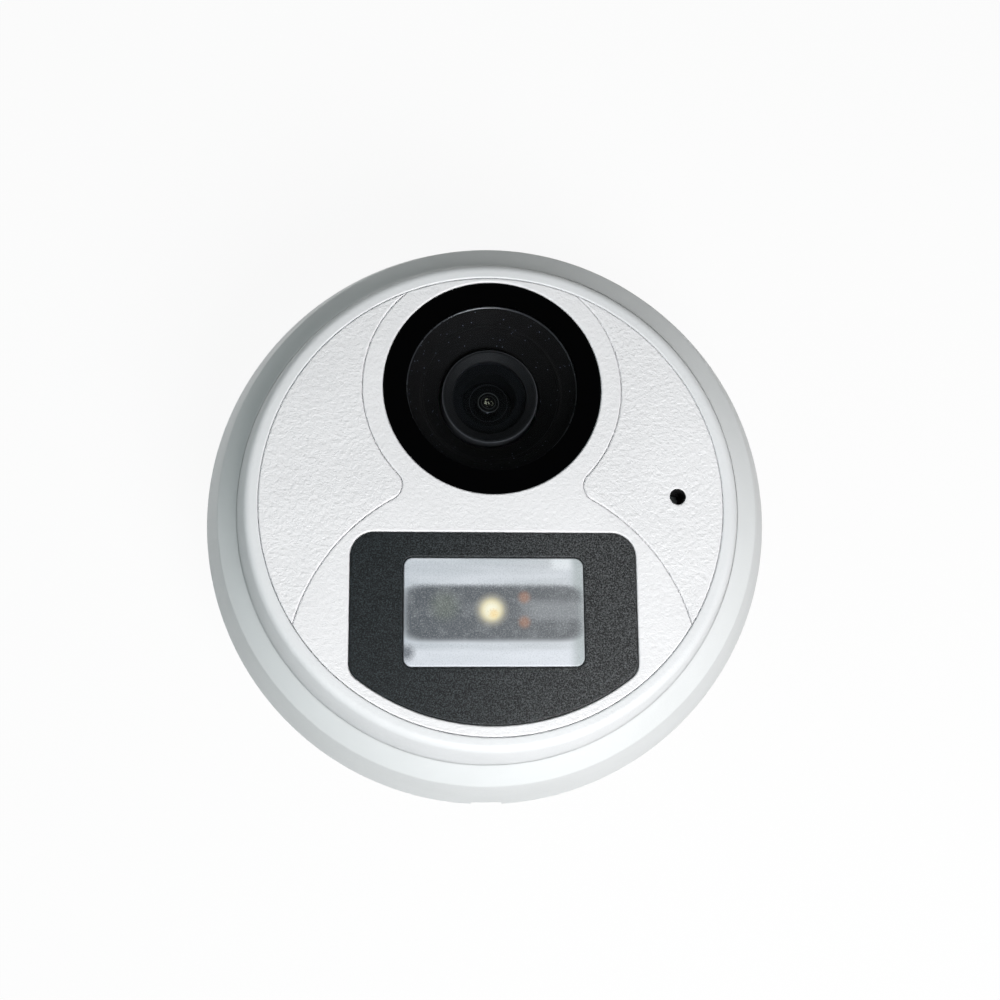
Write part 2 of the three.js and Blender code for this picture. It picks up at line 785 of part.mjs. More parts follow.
// The connector lies between two posts, at an angle in degrees from the -Y side.
function boardConnector() {
  const top = mainBoardFoot - seatGap;
  const body = block(0, -connectorDrop, connectorWidth, connectorLength, top - connectorHeight, top);
  body.rotateZ(THREE.MathUtils.degToRad(connectorAngle));
  return piece('board_connector', body, 'ivory');
}

// Light unit behind the diffuser
function lightPostPlaces() {
  return [[lightPostSide, -lightDrop], [-lightPostSide, -lightDrop]];
}

function reflector() {
  const width = diffuserWidth + 2 * reflectorWall;
  const height = diffuserHeight + 2 * reflectorWall;
  const frame = block(0, -lightDrop, width, height, reflectorFoot, reflectorTop);
  const funnel = new THREE.BoxGeometry(1, 1, reflectorHeight + 2 * cutOverrun);
  const corners = funnel.attributes.position;
  for (let i = 0; i < corners.count; i += 1) {
    const atTop = corners.getZ(i) > 0;
    corners.setX(i, corners.getX(i) * (atTop ? diffuserWidth : reflectorFootWidth));
    corners.setY(i, corners.getY(i) * (atTop ? diffuserHeight : reflectorFootHeight));
  }
  funnel.translate(0, -lightDrop, (reflectorFoot + reflectorTop) / 2);
  return piece('reflector', cut(frame, funnel), 'reflectorWhite');
}

function lightBoard() {
  const foot = lightBoardTop - lightBoardThickness;
  const board = block(0, -lightDrop, lightBoardWidth, lightBoardHeight, foot, lightBoardTop);
  const holes = lightPostPlaces().map(([x, y]) => (
    moved(disc(boardScrewRadius + seatGap, foot - cutOverrun, lightBoardTop + cutOverrun, tinySteps), x, y)
  ));
  return piece('light_board', cut(board, ...holes), 'boardDark');
}

// A light: a square base with a round dome on it.
function lightSource(name, x, finish) {
  const foot = lightBoardTop + seatGap;
  const base = block(0, 0, lightSize, lightSize, foot, foot + lightBaseHeight);
  const dome = new THREE.SphereGeometry(lightDomeRadius, tinySteps, tinySteps / 2);
  dome.rotateX(Math.PI / 2);
  dome.translate(0, 0, foot + lightBaseHeight);
  const belowBoard = block(0, 0, lightSize, lightSize, foot - lightDomeRadius - cutOverrun, foot);
  return piece(name, moved(cut(joined(base, dome), belowBoard), x, lightRowRise - lightDrop), finish);
}

function lightChip(name, side) {
  const foot = lightBoardTop + seatGap;
  const y = lightRowRise - lightDrop + (side * chipSpacing) / 2;
  return piece(name, block(chipSide, y, chipWidth, chipHeight, foot, foot + chipThickness), 'amber');
}

// A screw with its head at the foot and its shank going up.
function screw(name, x, y, headFoot, headRadius, headHeight, radius, length) {
  const head = disc(headRadius, headFoot, headFoot + headHeight, tinySteps);
  const shank = disc(radius, headFoot, headFoot + headHeight + length, tinySteps);
  return piece(name, moved(joined(head, shank), x, y), 'steel');
}

function shellScrews() {
  const foot = -rearFlatDepth;
  return onCircle(postCircleRadius, postAngles).map(([x, y], i) => (
    screw(
      `shell_screw_${i + 1}`, x, y, foot, shellScrewHeadRadius, shellScrewHeadHeight, shellScrewRadius,
      shellScrewLength,
    )
  ));
}

function sensorScrews() {
  const foot = boardTop - boardThickness - seatGap - boardScrewHeadHeight;
  return sensorPostPlaces().map(([x, y], i) => (
    screw(
      `sensor_screw_${i + 1}`, x, y, foot, boardScrewHeadRadius, boardScrewHeadHeight, boardScrewRadius,
      boardScrewLength,
    )
  ));
}

function lightScrews() {
  const top = lightBoardTop + seatGap + boardScrewHeadHeight;
  return lightPostPlaces().map(([x, y], i) => {
    const head = disc(boardScrewHeadRadius, top - boardScrewHeadHeight, top, tinySteps);
    const shank = disc(boardScrewRadius, top - boardScrewHeadHeight - boardScrewLength, top, tinySteps);
    return piece(`light_screw_${i + 1}`, moved(joined(head, shank), x, y), 'steel');
  });
}

// Gland in the ball's tail, with its nut and grommet
function tailGland() {
  const flangeTop = -rearFlatDepth - seatGap;
  const neckTop = flangeTop + glandNeckLength;
  const bore = glandNeckRadius - glandWall;
  const outline = [
    [bore, flangeTop - glandFlangeThickness],
    [glandFlangeRadius, flangeTop - glandFlangeThickness],
    [glandFlangeRadius, flangeTop],
    [glandNeckRadius, flangeTop],
    [glandNeckRadius, neckTop],
    [bore, neckTop],
  ];
  return piece('tail_gland', turned(outline, smallSteps), 'blackMatte');
}

function glandNut() {
  const foot = rearFloor + seatGap;
  return piece('gland_nut', cut(
    disc(nutRadius, foot, foot + nutThickness, nutSides),
    disc(glandNeckRadius + seatGap, foot - cutOverrun, foot + nutThickness + cutOverrun),
  ), 'steel');
}

function cableGrommet() {
  const radius = glandNeckRadius - glandWall - seatGap;
  const foot = -rearFlatDepth - seatGap - glandFlangeThickness - grommetProud;
  const sleeve = ring(radius - grommetWall, radius, foot, foot + grommetLength, tinySteps);
  return piece('cable_grommet', sleeve, 'rubber');
}

// Base, swivel seat and trim ring
function mountingBase() {
  const radius = ringRadius - baseInset;
  const top = ballCentreHeight - ringDrop - seatGap;
  const socketTop = ballCentreHeight - seatFootDrop - seatGap;
  const collarRadius = seatRadius + seatGap;
  const socketRadius = collarRadius + collarWall;
  const outline = [
    [cableHoleRadius, 0],
    [radius - baseEdgeRound, 0],
    [radius, baseEdgeRound],
    [radius, top],
    [radius - baseWall, top],
    [radius - baseWall, floorThickness],
    [socketRadius, floorThickness],
    [socketRadius, socketTop + collarHeight],
    [collarRadius, socketTop + collarHeight],
    [collarRadius, socketTop],
    [seatRadius - socketWidth, socketTop],
    [seatRadius - socketWidth, floorThickness],
    [cableHoleRadius, floorThickness],
  ];
  const holeAngles = evenAngles(fixingHoleCount, firstFixingHoleAngle);
  const holes = onCircle(fixingCircleRadius, holeAngles).map(([x, y]) => (
    moved(disc(fixingHoleRadius, -cutOverrun, floorThickness + cutOverrun, tinySteps), x, y)
  ));
  return piece('mounting_base', cut(turned(outline), ...holes), 'whiteShell');
}

function swivelSeat() {
  const surface = ballRadius + seatGap;
  const outline = [
    ...sphereArc(surface, -seatTopDrop, -seatFootDrop),
    [seatRadius, -seatFootDrop],
    [seatRadius, -seatTopDrop],
  ];
  const seat = piece('swivel_seat', turned(outline), 'rubber');
  seat.position.z = ballCentreHeight;
  return seat;
}

// The radius of the trim ring's inner cone at a height from the ball's centre
function ringInnerRadius(height) {
  const top = ringRise - lipThickness;
  const foot = -ringDrop + ringBand;
  const topRadius = ringFrontRadius - ringWall;
  const footRadius = skirtRadius - skirtWall;
  return footRadius + ((topRadius - footRadius) * (height - foot)) / (top - foot);
}

function trimRing() {
  const lipRadius = ballRadius + ballGap;
  const bandTop = ringBand - ringDrop;
  const lipFoot = ringRise - lipThickness;
  const outline = [
    [ringRadius, -ringDrop],
    [ringRadius, bandTop],
    [ringFrontRadius, ringRise - ringFrontDrop],
    [sphereAt(lipRadius, ringRise), ringRise],
    [sphereAt(lipRadius, lipFoot), lipFoot],
    [ringInnerRadius(lipFoot), lipFoot],
    [skirtRadius - skirtWall, bandTop],
    [skirtRadius - skirtWall, -ringDrop - skirtLength],
    [skirtRadius, -ringDrop - skirtLength],
    [skirtRadius, -ringDrop],
  ];
  const notch = block(
    0,
    -ringRadius,
    notchWidth,
    2 * notchDepth,
    -ringDrop - cutOverrun,
    notchHeight - ringDrop,
  );
  const trim = piece('trim_ring', cut(turned(outline), notch), 'whiteShell');
  trim.position.z = ballCentreHeight;
  return trim;
}

function gripRing() {
  const surface = ballRadius + seatGap;
  const outline = [
    ...sphereArc(surface, gripLow, gripHigh, shortArcSteps),
    [ringInnerRadius(gripHigh) - seatGap, gripHigh],
    [ringInnerRadius(gripLow) - seatGap, gripLow],
  ];
  const grip = piece('grip_ring', turned(outline), 'rubber');
  grip.position.z = ballCentreHeight;
  return grip;
}

// The ball's pieces lean together at rest, about a level axis through the ball's centre.
function leaning(...pieces) {
  const group = new THREE.Group();
  const side = THREE.MathUtils.degToRad(restTiltSide);
  const axis = new THREE.Vector3(-Math.sin(side), Math.cos(side), 0);
  group.position.z = ballCentreHeight;
  group.quaternion.setFromAxisAngle(axis, THREE.MathUtils.degToRad(restTilt));
  group.add(...pieces);
  return group;
}

const camera = new THREE.Group();
camera.add(
  mountingBase(),
  swivelSeat(),
  trimRing(),
  gripRing(),
  leaning(tailGland(), glandNut(), cableGrommet()),
  leaning(
    frontShell(),
    rearShell(),
    shellSeal(),
    faceCover(),
    centrePanel(),
    lensWindow(),
    lightPanel(),
    lightDiffuser(),
    microphone(),
    microphoneBoot(),
    lensHood(),
    lensBarrel(),
    ...lensElements(),
    lensHolder(),
    imageSensor(),
    sensorBoard(),
    ...sensorScrews(),
    chassis(),
    mainBoard(),
    processor(),
    heatPad(),
    boardConnector(),
    reflector(),
    lightBoard(),
    lightSource('white_light', 0, 'warmLight'),
    lightSource('infrared_light', -secondLightSide, 'darkLight'),
    lightChip('upper_chip', 1),
    lightChip('lower_chip', -1),
    ...lightScrews(),
    ...shellScrews(),
  ),
);

export default camera;
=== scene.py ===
"""A turret security camera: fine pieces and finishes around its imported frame, with light and a camera."""

import json
import math

import bmesh
import bpy
from mathutils import Matrix, Vector
from mathutils.geometry import tessellate_polygon


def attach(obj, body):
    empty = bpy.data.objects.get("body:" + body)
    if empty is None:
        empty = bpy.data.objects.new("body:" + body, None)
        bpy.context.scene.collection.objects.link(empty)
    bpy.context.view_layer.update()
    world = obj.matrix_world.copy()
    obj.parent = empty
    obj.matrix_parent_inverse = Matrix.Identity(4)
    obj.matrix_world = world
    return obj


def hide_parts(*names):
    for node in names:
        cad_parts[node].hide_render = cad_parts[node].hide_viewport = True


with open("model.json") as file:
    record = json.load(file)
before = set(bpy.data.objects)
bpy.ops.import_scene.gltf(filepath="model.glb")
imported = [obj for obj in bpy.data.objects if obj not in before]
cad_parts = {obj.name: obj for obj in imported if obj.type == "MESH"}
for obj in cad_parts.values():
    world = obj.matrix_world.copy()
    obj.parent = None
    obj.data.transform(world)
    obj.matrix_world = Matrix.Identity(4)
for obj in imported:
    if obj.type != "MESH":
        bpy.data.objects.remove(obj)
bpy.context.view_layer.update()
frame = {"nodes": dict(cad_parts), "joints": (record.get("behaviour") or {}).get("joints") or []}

# Pieces are made in millimetres from the ball's centre, either upright or in line with the ball
MM = 0.001
JOINTS = {joint["name"]: joint for joint in frame["joints"]}
BALL_CENTRE = Vector(JOINTS["tilt"]["pos_m"])
BALL_AXIS = Vector(JOINTS["rotate"]["axis"])
LEAN_AXIS = Vector(JOINTS["tilt"]["axis"])
LEAN = Matrix.Rotation(BALL_AXIS.angle(Vector((0, 0, 1))), 4, LEAN_AXIS)
UPRIGHT = Matrix.Translation(BALL_CENTRE) @ Matrix.Scale(MM, 4)
IN_BALL = Matrix.Translation(BALL_CENTRE) @ LEAN @ Matrix.Scale(MM, 4)

# Steps round turned pieces, along arcs and across rounded edges
TURN_STEPS = 240
SMALL_TURN_STEPS = 120
HOLE_STEPS = 32
ARC_STEPS = 40
ROUND_STEPS = 6
LONG_ROUND_STEPS = 2 * ROUND_STEPS
SHARP_ANGLE = math.radians(32)
SAME = 1e-6
OVERRUN = 1

# Ball and its shells
BALL_RADIUS = 46
FACE_RADIUS = 43
FACE_EDGE_ROUND = 1.2
SHELL_WALL = 2
PARTING_HEIGHT = 3
REAR_FLAT_DEPTH = 40
REAR_FLAT_ROUND = 0.6
REAR_WALL = 3.2
CHASSIS_LEDGE_RADIUS = 38.5
CHASSIS_LEDGE_TOP = -0.3
CHASSIS_LEDGE_FOOT = -2.5
COVER_LEDGE_RADIUS = 37.9
COVER_LEDGE_THICKNESS = 2
GLAND_HOLE_RADIUS = 7.1
SCREW_CIRCLE_RADIUS = 18
SCREW_ANGLES = (26, 154, 270)
SCREW_HOLE_RADIUS = 3
SCREW_HOLE_DEPTH = 1.8
SCREW_SHANK_HOLE_RADIUS = 1.5
WORKING_GAP = 0.3

# Face: the seams are finer here than the working gaps of the solids
SEAM_RADIUS = 40.5
COVER_THICKNESS = 3.2
PANEL_THICKNESS = 1.25
PLATE_GROW = 0.14
HOLE_GROW = 0.22
SEAM_EDGE = 0.3
HOLDING_WIDTH = 0.05
PARTING_GAP = 0.05
PARTING_EDGE = 0.2
PLATE_SINK = 0.15
HIDDEN_EDGE = 0.02

# Hourglass centre panel
LENS_RISE = 20.4
LENS_PLACE = (0, LENS_RISE)
NECK_RADIUS = 22.9
NECK_ROUND = 3
FOOT_DROP = 30.9
FOOT_RADIUS = 35.3

# Microphone hole
MIC_PLACE = (32.6, 0.7)
MIC_HOLE_RADIUS = 1.35
# How far past the hole's radius its walls are painted black, as painted shade
MIC_SHADE_REACH = 0.08

# Lens window, hood, barrel and glass
WINDOW_RADIUS = 19.4
WINDOW_CLEAR_RADIUS = 15.3
WINDOW_THICKNESS = 1.2
WINDOW_EDGE = 0.15
WINDOW_GAP = 0.07
WINDOW_LEDGE_RADIUS = 17.8
HOOD_RADIUS = 16.6
HOOD_MOUTH_RADIUS = 15.2
HOOD_STEP_RADIUS = 12.3
HOOD_STEP_DROP = 3.4
HOOD_STEP_HEIGHT = 0.7
HOOD_THROAT_RADIUS = 9.4
HOOD_THROAT_DROP = 6.6
HOOD_FOOT = 2.8
HOOD_RIM_ROUND = 0.1
HOOD_LIP_DEPTH = 0.11
BARREL_TOP = 9.7
BARREL_HEAD_RADIUS = 8.8
BARREL_HEAD_FOOT = 2.2
BARREL_FOOT = -8
BARREL_THREAD_RADIUS = 6.05
BARREL_RIM_WIDTH = 0.5
BARREL_CONE_RADIUS = 6.95
BARREL_CONE_DROP = 0.9
FRONT_GLASS_RADIUS = 6.6
FRONT_GLASS_FOOT = 7.6
FRONT_GLASS_EDGE = 0.7
FRONT_GLASS_RISE = 1.3
MIDDLE_GLASS_RADIUS = 4.7
MIDDLE_GLASS_FOOT = 1.6
MIDDLE_GLASS_EDGE = 0.35
MIDDLE_GLASS_RISE = 1.3
MIDDLE_DOME_RADIUS = 2.3
REAR_BORE_RADIUS = 4
BARREL_LIP_RADIUS = 3.2
BARREL_LIP_THICKNESS = 1
GLASS_GAP = 0.3

# Thickness of the coating, in nanometres
REAR_COATING = 260

# Barrel's rim, lighter as a painted highlight, and the rings and glints painted on the middle element
RIM_HIGHLIGHT_START = 8.5
RIM_HIGHLIGHT_END = 8.7
GLASS_RING_PLACE = (0.3, LENS_RISE + 0.8)
GLASS_RINGS = ((3.6, (42, 42, 43)), (1.95, (84, 84, 80)), (1.35, (64, 64, 60)))
GLASS_RING_HALF_WIDTH = 0.07
GLASS_RING_SOFT = 0.09
# Where and how the painted glints lie, and the strength of the painted glow
GLINT_INNER_RADIUS = 0.6
GLINT_OUTER_RADIUS = 1.05
GLINT_TURNS = 2.4
PAINTED_GLOW_STRENGTH = 0.35

# Light panel and its diffuser
LIGHT_PANEL_HALF_WIDTH = 24.6
LIGHT_PANEL_TOP_DROP = 6
LIGHT_PANEL_ARC_RADIUS = 38.6
LIGHT_PANEL_TOP_ROUND = 4
LIGHT_PANEL_FOOT_ROUND = 3
DIFFUSER_WIDTH = 30.8
DIFFUSER_HEIGHT = 18.4
DIFFUSER_ROUND = 1.4
DIFFUSER_LEDGE = 1.3
LIGHT_DROP = 19.6
DIFFUSER_SINK = 0.3

# What shows through the diffuser, as places and reaches on the face
SEEN_SHADES = (-15, 14)
SEEN_FOOT_STRIP = (-26.6, -25.6)
SEEN_RIGHT_STRIP = (12.6, 14.6)
# Where the painted gleam lies, a painted highlight
GLEAM_SIDES = (10, 13.4)
GLEAM_LEVELS = (-12.8, -11.6)
SEEN_BOARD_MIDDLE = (-0.15, -19.8)
SEEN_BOARD_HALVES = (15.3, 4.75)
SEEN_BOARD_SQUARENESS = (11, 6)
SEEN_BOARD_FADE = (0.34, 1.75)
PALE_PATCH_SIDES = (2.5, 8)
PALE_PATCH_LEVELS = (-21, -17.8)
SOFT_BORDER = 0.8
BORDER_WANDER = 0.9
SECOND_LIGHT = ((-8.5, -18.6), 0.8, 3.6)

# Spots seen there: middle, full reach, outer reach, tone and strength
SEEN_SPOTS = (
    ((-15, -26.6), 0.3, 2.1, (84, 89, 98), 0.85),
    ((5.2, -17.1), 0.3, 1.5, (180, 132, 106), 0.58),
    ((5.2, -21.35), 0.3, 1.5, (180, 132, 106), 0.58),
    # The next three warm spots round the white light are its painted glow
    ((-0.45, -19.3), 1.7, 3.4, (196, 190, 172), 0.6),
    ((-0.45, -19.3), 1.2, 2.5, (240, 228, 186), 0.9),
    ((-0.45, -19.3), 0.5, 1.9, (255, 250, 226), 1),
    ((-0.05, -19.95), 0.2, 1.3, (250, 222, 158), 0.8),
)

# Gland and grommet in the ball's tail
GLAND_FLANGE_RADIUS = 10
GLAND_FLANGE_THICKNESS = 2.7
GLAND_NECK_RADIUS = 6.8
GLAND_NECK_LENGTH = 6.6
GLAND_BORE_RADIUS = 5.4
GLAND_EDGE = 0.4
GROMMET_RADIUS = 5.1
GROMMET_BORE_RADIUS = 3.7
GROMMET_PROUD = 0.6
GROMMET_LENGTH = 7.4
GROMMET_EDGE = 0.35

# Trim ring
RING_RADIUS = 55
RING_FRONT_RADIUS = 49.2
RING_FRONT_DROP = 4.7
RING_RISE = 10.7
RING_DROP = 13.4
RING_BAND = 0.6
RING_WALL = 2.8
RING_LIP_THICKNESS = 3.2
RING_LIP_DEPTH = 0.5
RING_LIP_WIDTH = 1
RING_EDGE_ROUND = 0.5
RING_FOOT_EDGE = 0.3
BALL_GAP = 0.06
SKIRT_RADIUS = 51.4
SKIRT_WALL = 1.6
SKIRT_LENGTH = 6
NOTCH_WIDTH = 6
NOTCH_HEIGHT = 2.6
NOTCH_DEPTH = 1.2

# Mounting base
BASE_RADIUS = 54.2
BASE_WALL = 2.5
BASE_EDGE_ROUND = 0.8
FLOOR_THICKNESS = 2.5
CABLE_HOLE_RADIUS = 9
FIXING_HOLE_RADIUS = 2.3
FIXING_CIRCLE_RADIUS = 26
FIXING_ANGLES = (90, 210, 330)
SEAT_RADIUS = 42.5
SEAT_FOOT_DROP = 32
SOCKET_WIDTH = 4.5
COLLAR_WALL = 2
COLLAR_HEIGHT = 4

# Camera, in metres and in pixels of the picture
PICTURE_WIDTH = 1000
LENS_LENGTH = 43.2
SENSOR_WIDTH = 36
CAMERA_PLACE = (-0.0041, -0.0192, 0.2736)
CAMERA_RIGHT = (0.99989, -0.0016, 0.0150)
CAMERA_BACK = (-0.0151, -0.1030, 0.9946)
CAMERA_MIDDLE = (482.85, 493.86)
CAMERA_NEAREST = 0.01

# Tones of the white plastics, from 0 to 255
WHITE_TONE = (232, 234, 235)
FACE_TONE = (246, 245, 247)
RIM_TONE = (237, 238, 240)

# Depths of their grain
PLAIN_GRAIN = 0.022
RIM_GRAIN = 0.06
PANEL_GRAIN = 0.15
COVER_GRAIN = 0.22

# Where a noise's usual lows and highs lie
NOISE_REACH = (0.3, 0.7)

# Turning lines of the barrel and tracks of the boards, in radians for each millimetre
TURNING_RATE = 30
TRACK_RATE = 4.2

# Lamps: name, place, size, power and colour
LAMP_AIM = (0, 0, 0.05)
LAMPS = (
    ("key", (0.127, -0.245, 0.41), 0.24, 2.12, (1, 1, 1)),
    ("fill", (-0.80, -0.30, 0.55), 0.8, 1.2, (0.75, 0.97, 1)),
    ("back", (-0.35, 0.9, 0.12), 0.6, 0.35, (1, 0.98, 0.96)),
)

# World and floor
WORLD_COLOUR = (0.92, 1, 0.97)
WORLD_SIDE_STRENGTH = 0.1
WORLD_TOP_STRENGTH = 0.15
FLOOR_SIZE = 6
FLOOR_TONES = ((238, 238, 238), (235, 235, 235))
FLOOR_BOUNCE_FRONT = (70, 72, 71)
FLOOR_BOUNCE_BACK = (236, 234, 232)
FLOOR_BOUNCE_REACH = (-20, 60)
FLOOR_GLOW = 0.93

# Heights that follow from the sizes above
FACE_HEIGHT = math.sqrt(BALL_RADIUS ** 2 - FACE_RADIUS ** 2)
COVER_FOOT = FACE_HEIGHT - COVER_THICKNESS
PLATE_FOOT = FACE_HEIGHT - PANEL_THICKNESS
POCKET_FLOOR = PLATE_FOOT - WORKING_GAP
PLATE_TOP = FACE_HEIGHT - PLATE_SINK
REAR_FLOOR = REAR_WALL - REAR_FLAT_DEPTH
BASE_FOOT = -BALL_CENTRE.z / MM


# Outlines

def sphere_at(radius, height):
    """The radius of a ball's surface at a height from its centre."""
    return math.sqrt(radius ** 2 - height ** 2)


def sphere_arc(radius, start, end, steps=ARC_STEPS):
    """Points (radius, height) on a ball from one height to another."""
    first = math.asin(start / radius)
    last = math.asin(end / radius)
    angles = [first + (last - first) * i / steps for i in range(steps + 1)]
    return [(radius * math.cos(angle), radius * math.sin(angle)) for angle in angles]


def curve(start, corner, end, steps=ROUND_STEPS):
    """Points from start to end, drawn towards a corner."""
    points = []
    for i in range(steps + 1):
        t = i / steps
        weights = ((1 - t) ** 2, 2 * t * (1 - t), t ** 2)
        columns = zip(start, corner, end)
        points.append(tuple(sum(w * part for w, part in zip(weights, column)) for column in columns))
    return points


def rounded(corner, before, after, steps=ROUND_STEPS):
    """A curve round a corner. Before and after say how far from the corner it starts and ends."""
    start, end = (tuple(a + b for a, b in zip(corner, away)) for away in (before, after))
    return curve(start, corner, end, steps)


def arc(centre, radius, start, end, steps=ARC_STEPS):
    """Points on a circle, from one angle to another."""
    angles = [start + (end - start) * i / steps for i in range(steps + 1)]
    x, y = centre
    return [(x + radius * math.cos(angle), y + radius * math.sin(angle)) for angle in angles]


def circle(centre, radius, steps=SMALL_TURN_STEPS):
    """A closed circle."""
    return arc(centre, radius, 0, 2 * math.pi, steps)[:-1]


def round_outline(centre, radius, steps=TURN_STEPS):
    """A circle, as a function of how much it grows."""
    return lambda grow: circle(centre, radius + grow, steps)


def angle_of(point):
    """The angle of a point about the face's middle."""
    return math.atan2(point[1], point[0])


def mirrored(points):
    """The same points at the other side of the face, in the other order."""
    return [(-x, y) for x, y in reversed(points)]


def hourglass_side(grow, edge):
    """The right side of the hourglass, from a circle of radius edge at its top to the same at its foot."""
    neck = NECK_RADIUS + grow
    foot = FOOT_RADIUS + grow
    turn = NECK_ROUND - grow
    span = LENS_RISE + FOOT_DROP
    reach = (neck + turn) ** 2 - (foot + turn) ** 2
    turn_y = (reach + FOOT_DROP ** 2 - LENS_RISE ** 2) / (-2 * span)
    turn_x = sphere_at(neck + turn, turn_y - LENS_RISE)
    top_y = (edge ** 2 - neck ** 2 + LENS_RISE ** 2) / (2 * LENS_RISE)
    foot_y = -(edge ** 2 - foot ** 2 + FOOT_DROP ** 2) / (2 * FOOT_DROP)
    neck_start = math.atan2(top_y - LENS_RISE, sphere_at(edge, top_y))
    neck_end = math.atan2(turn_y - LENS_RISE, turn_x)
    foot_start = math.atan2(turn_y + FOOT_DROP, turn_x)
    foot_end = math.atan2(foot_y + FOOT_DROP, sphere_at(edge, foot_y))
    return (
        arc((0, LENS_RISE), neck, neck_start, neck_end)
        + arc((turn_x, turn_y), turn, neck_end + math.pi, foot_start + math.pi)[1:]
        + arc((0, -FOOT_DROP), foot, foot_start, foot_end)[1:]
    )


def hourglass(grow):
    """The outline of the centre panel, its top and foot on the round seam."""
    edge = SEAM_RADIUS + grow
    right = hourglass_side(grow, edge)
    left = mirrored(right)
    top_start = angle_of(left[-1])
    top_end = angle_of(right[0])
    foot_start = angle_of(right[-1])
    foot_end = angle_of(left[0])
    return (
        arc((0, 0), edge, top_start, top_end)[:-1]
        + right[:-1]
        + arc((0, 0), edge, foot_start, foot_end)[:-1]
        + left[:-1]
    )


def right_lune(grow):
    """The part of the face cover that shows at the right of the centre panel."""
    edge = SEAM_RADIUS + PLATE_GROW + grow
    side = hourglass_side(HOLE_GROW - grow, edge)
    foot = angle_of(side[-1])
    top = angle_of(side[0])
    return side[:-1] + arc((0, 0), edge, foot, top)[:-1]


def left_lune(grow):
    """The part of the face cover that shows at the left of the centre panel."""
    return mirrored(right_lune(grow))


def light_panel_outline(grow):
    """Straight top and sides, and a foot that follows the face's edge."""
    half_width = LIGHT_PANEL_HALF_WIDTH + grow
    top = grow - LIGHT_PANEL_TOP_DROP
    edge = LIGHT_PANEL_ARC_RADIUS + grow
    top_round = LIGHT_PANEL_TOP_ROUND + grow
    foot_round = LIGHT_PANEL_FOOT_ROUND + grow
    foot_x = half_width - foot_round
    foot_y = -sphere_at(edge - foot_round, foot_x)
    foot_angle = angle_of((foot_x, foot_y))
    corner = arc((half_width - top_round, top - top_round), top_round, math.pi / 2, 0)
    foot = arc((foot_x, foot_y), foot_round, 0, foot_angle)
    right = corner + foot
    return right + arc((0, 0), edge, foot_angle, -math.pi - foot_angle)[1:-1] + mirrored(right)


def light_window_outline(grow):
    """A rounded rectangle about the middle of the light window."""
    x = DIFFUSER_WIDTH / 2 + grow
    y = DIFFUSER_HEIGHT / 2 + grow
    turn = DIFFUSER_ROUND + max(grow, -DIFFUSER_ROUND / 2)
    top = arc((x - turn, y - turn - LIGHT_DROP), turn, math.pi / 2, 0)
    foot = arc((x - turn, turn - y - LIGHT_DROP), turn, 0, -math.pi / 2)
    right = top + foot
    return right + mirrored(right)


# Meshes

def turned(profile, centre=(0, 0), steps=TURN_STEPS):
    """Vertices and faces of a piece turned from a closed profile of (radius, height) points."""
    vertices = []
    rings = []
    for radius, height in profile:
        count = 1 if radius < SAME else steps
        rings.append(range(len(vertices), len(vertices) + count))
        for i in range(count):
            angle = 2 * math.pi * i / steps
            x = centre[0] + radius * math.cos(angle)
            y = centre[1] + radius * math.sin(angle)
            vertices.append((x, y, height))
    faces = []
    for ring, after in zip(rings, rings[1:] + rings[:1]):
        if len(ring) == 1 and len(after) == 1:
            continue
        for i in range(steps):
            j = i + 1
            corners = (ring[i % len(ring)], ring[j % len(ring)], after[j % len(after)], after[i % len(after)])
            faces.append(list(dict.fromkeys(corners)))
    return vertices, faces


def plate(low, high, edge, *outlines):
    """Vertices and faces of a flat plate with a rounded upper edge. Each outline is a function of its growth,
    with its growth at the foot. The first is the outside and the others are holes."""
    vertices = []
    faces = []
    feet = []
    tops = []
    for outline, growth in outlines:
        way = 1 if feet else -1
        levels = [(0, low)]
        for i in range(ROUND_STEPS + 1):
            angle = math.pi / 2 * i / ROUND_STEPS
            levels.append((edge * (1 - math.cos(angle)), high - edge * (1 - math.sin(angle))))
        levels.append((edge + HOLDING_WIDTH, high))
        rings = []
        for inset, height in levels:
            points = outline(growth + way * inset)
            rings.append(range(len(vertices), len(vertices) + len(points)))
            vertices.extend((x, y, height) for x, y in points)
        for ring, after in zip(rings, rings[1:]):
            count = len(ring)
            for i in range(count):
                j = (i + 1) % count
                faces.append([ring[i], ring[j], after[j], after[i]])
        feet.append(rings[0])
        tops.append(rings[-1])
    for rings in (feet, tops):
        flat = [i for ring in rings for i in ring]
        loops = [[Vector((vertices[i][0], vertices[i][1], 0)) for i in ring] for ring in rings]
        faces.extend([flat[i] for i in triangle] for triangle in tessellate_polygon(loops))
    return vertices, faces


def several(*shapes):
    """One list of vertices and faces from several."""
    vertices = []
    faces = []
    for more_vertices, more_faces in shapes:
        start = len(vertices)
        vertices.extend(more_vertices)
        faces.extend([start + i for i in face] for face in more_faces)
    return vertices, faces


def mesh_of(name, shape, place):
    """A Blender mesh of a shape, put in its place with its faces outwards."""
    vertices, faces = shape
    mesh = bpy.data.meshes.new(name)
    mesh.from_pydata([place @ Vector(vertex) for vertex in vertices], [], faces)
    work = bmesh.new()
    work.from_mesh(mesh)
    bmesh.ops.recalc_face_normals(work, faces=work.faces)
    work.to_mesh(mesh)
    work.free()
    return mesh


def show(name, data):
    """Puts an object in the scene."""
    made = bpy.data.objects.new(name, data)
    bpy.context.scene.collection.objects.link(made)
    return made


def cut_out(mesh, tool):
    """The mesh without what the tool's mesh takes out of it."""
    whole = show("whole", mesh)
    cutter = show("cutter", tool)
    modifier = whole.modifiers.new("cut", "BOOLEAN")
    modifier.object = cutter
    modifier.operation = "DIFFERENCE"
    modifier.solver = "EXACT"
    bpy.context.view_layer.update()
    ready = whole.evaluated_get(bpy.context.evaluated_depsgraph_get())
    left = bpy.data.meshes.new_from_object(ready)
    for obj in (whole, cutter):
        bpy.data.objects.remove(obj)
    return left


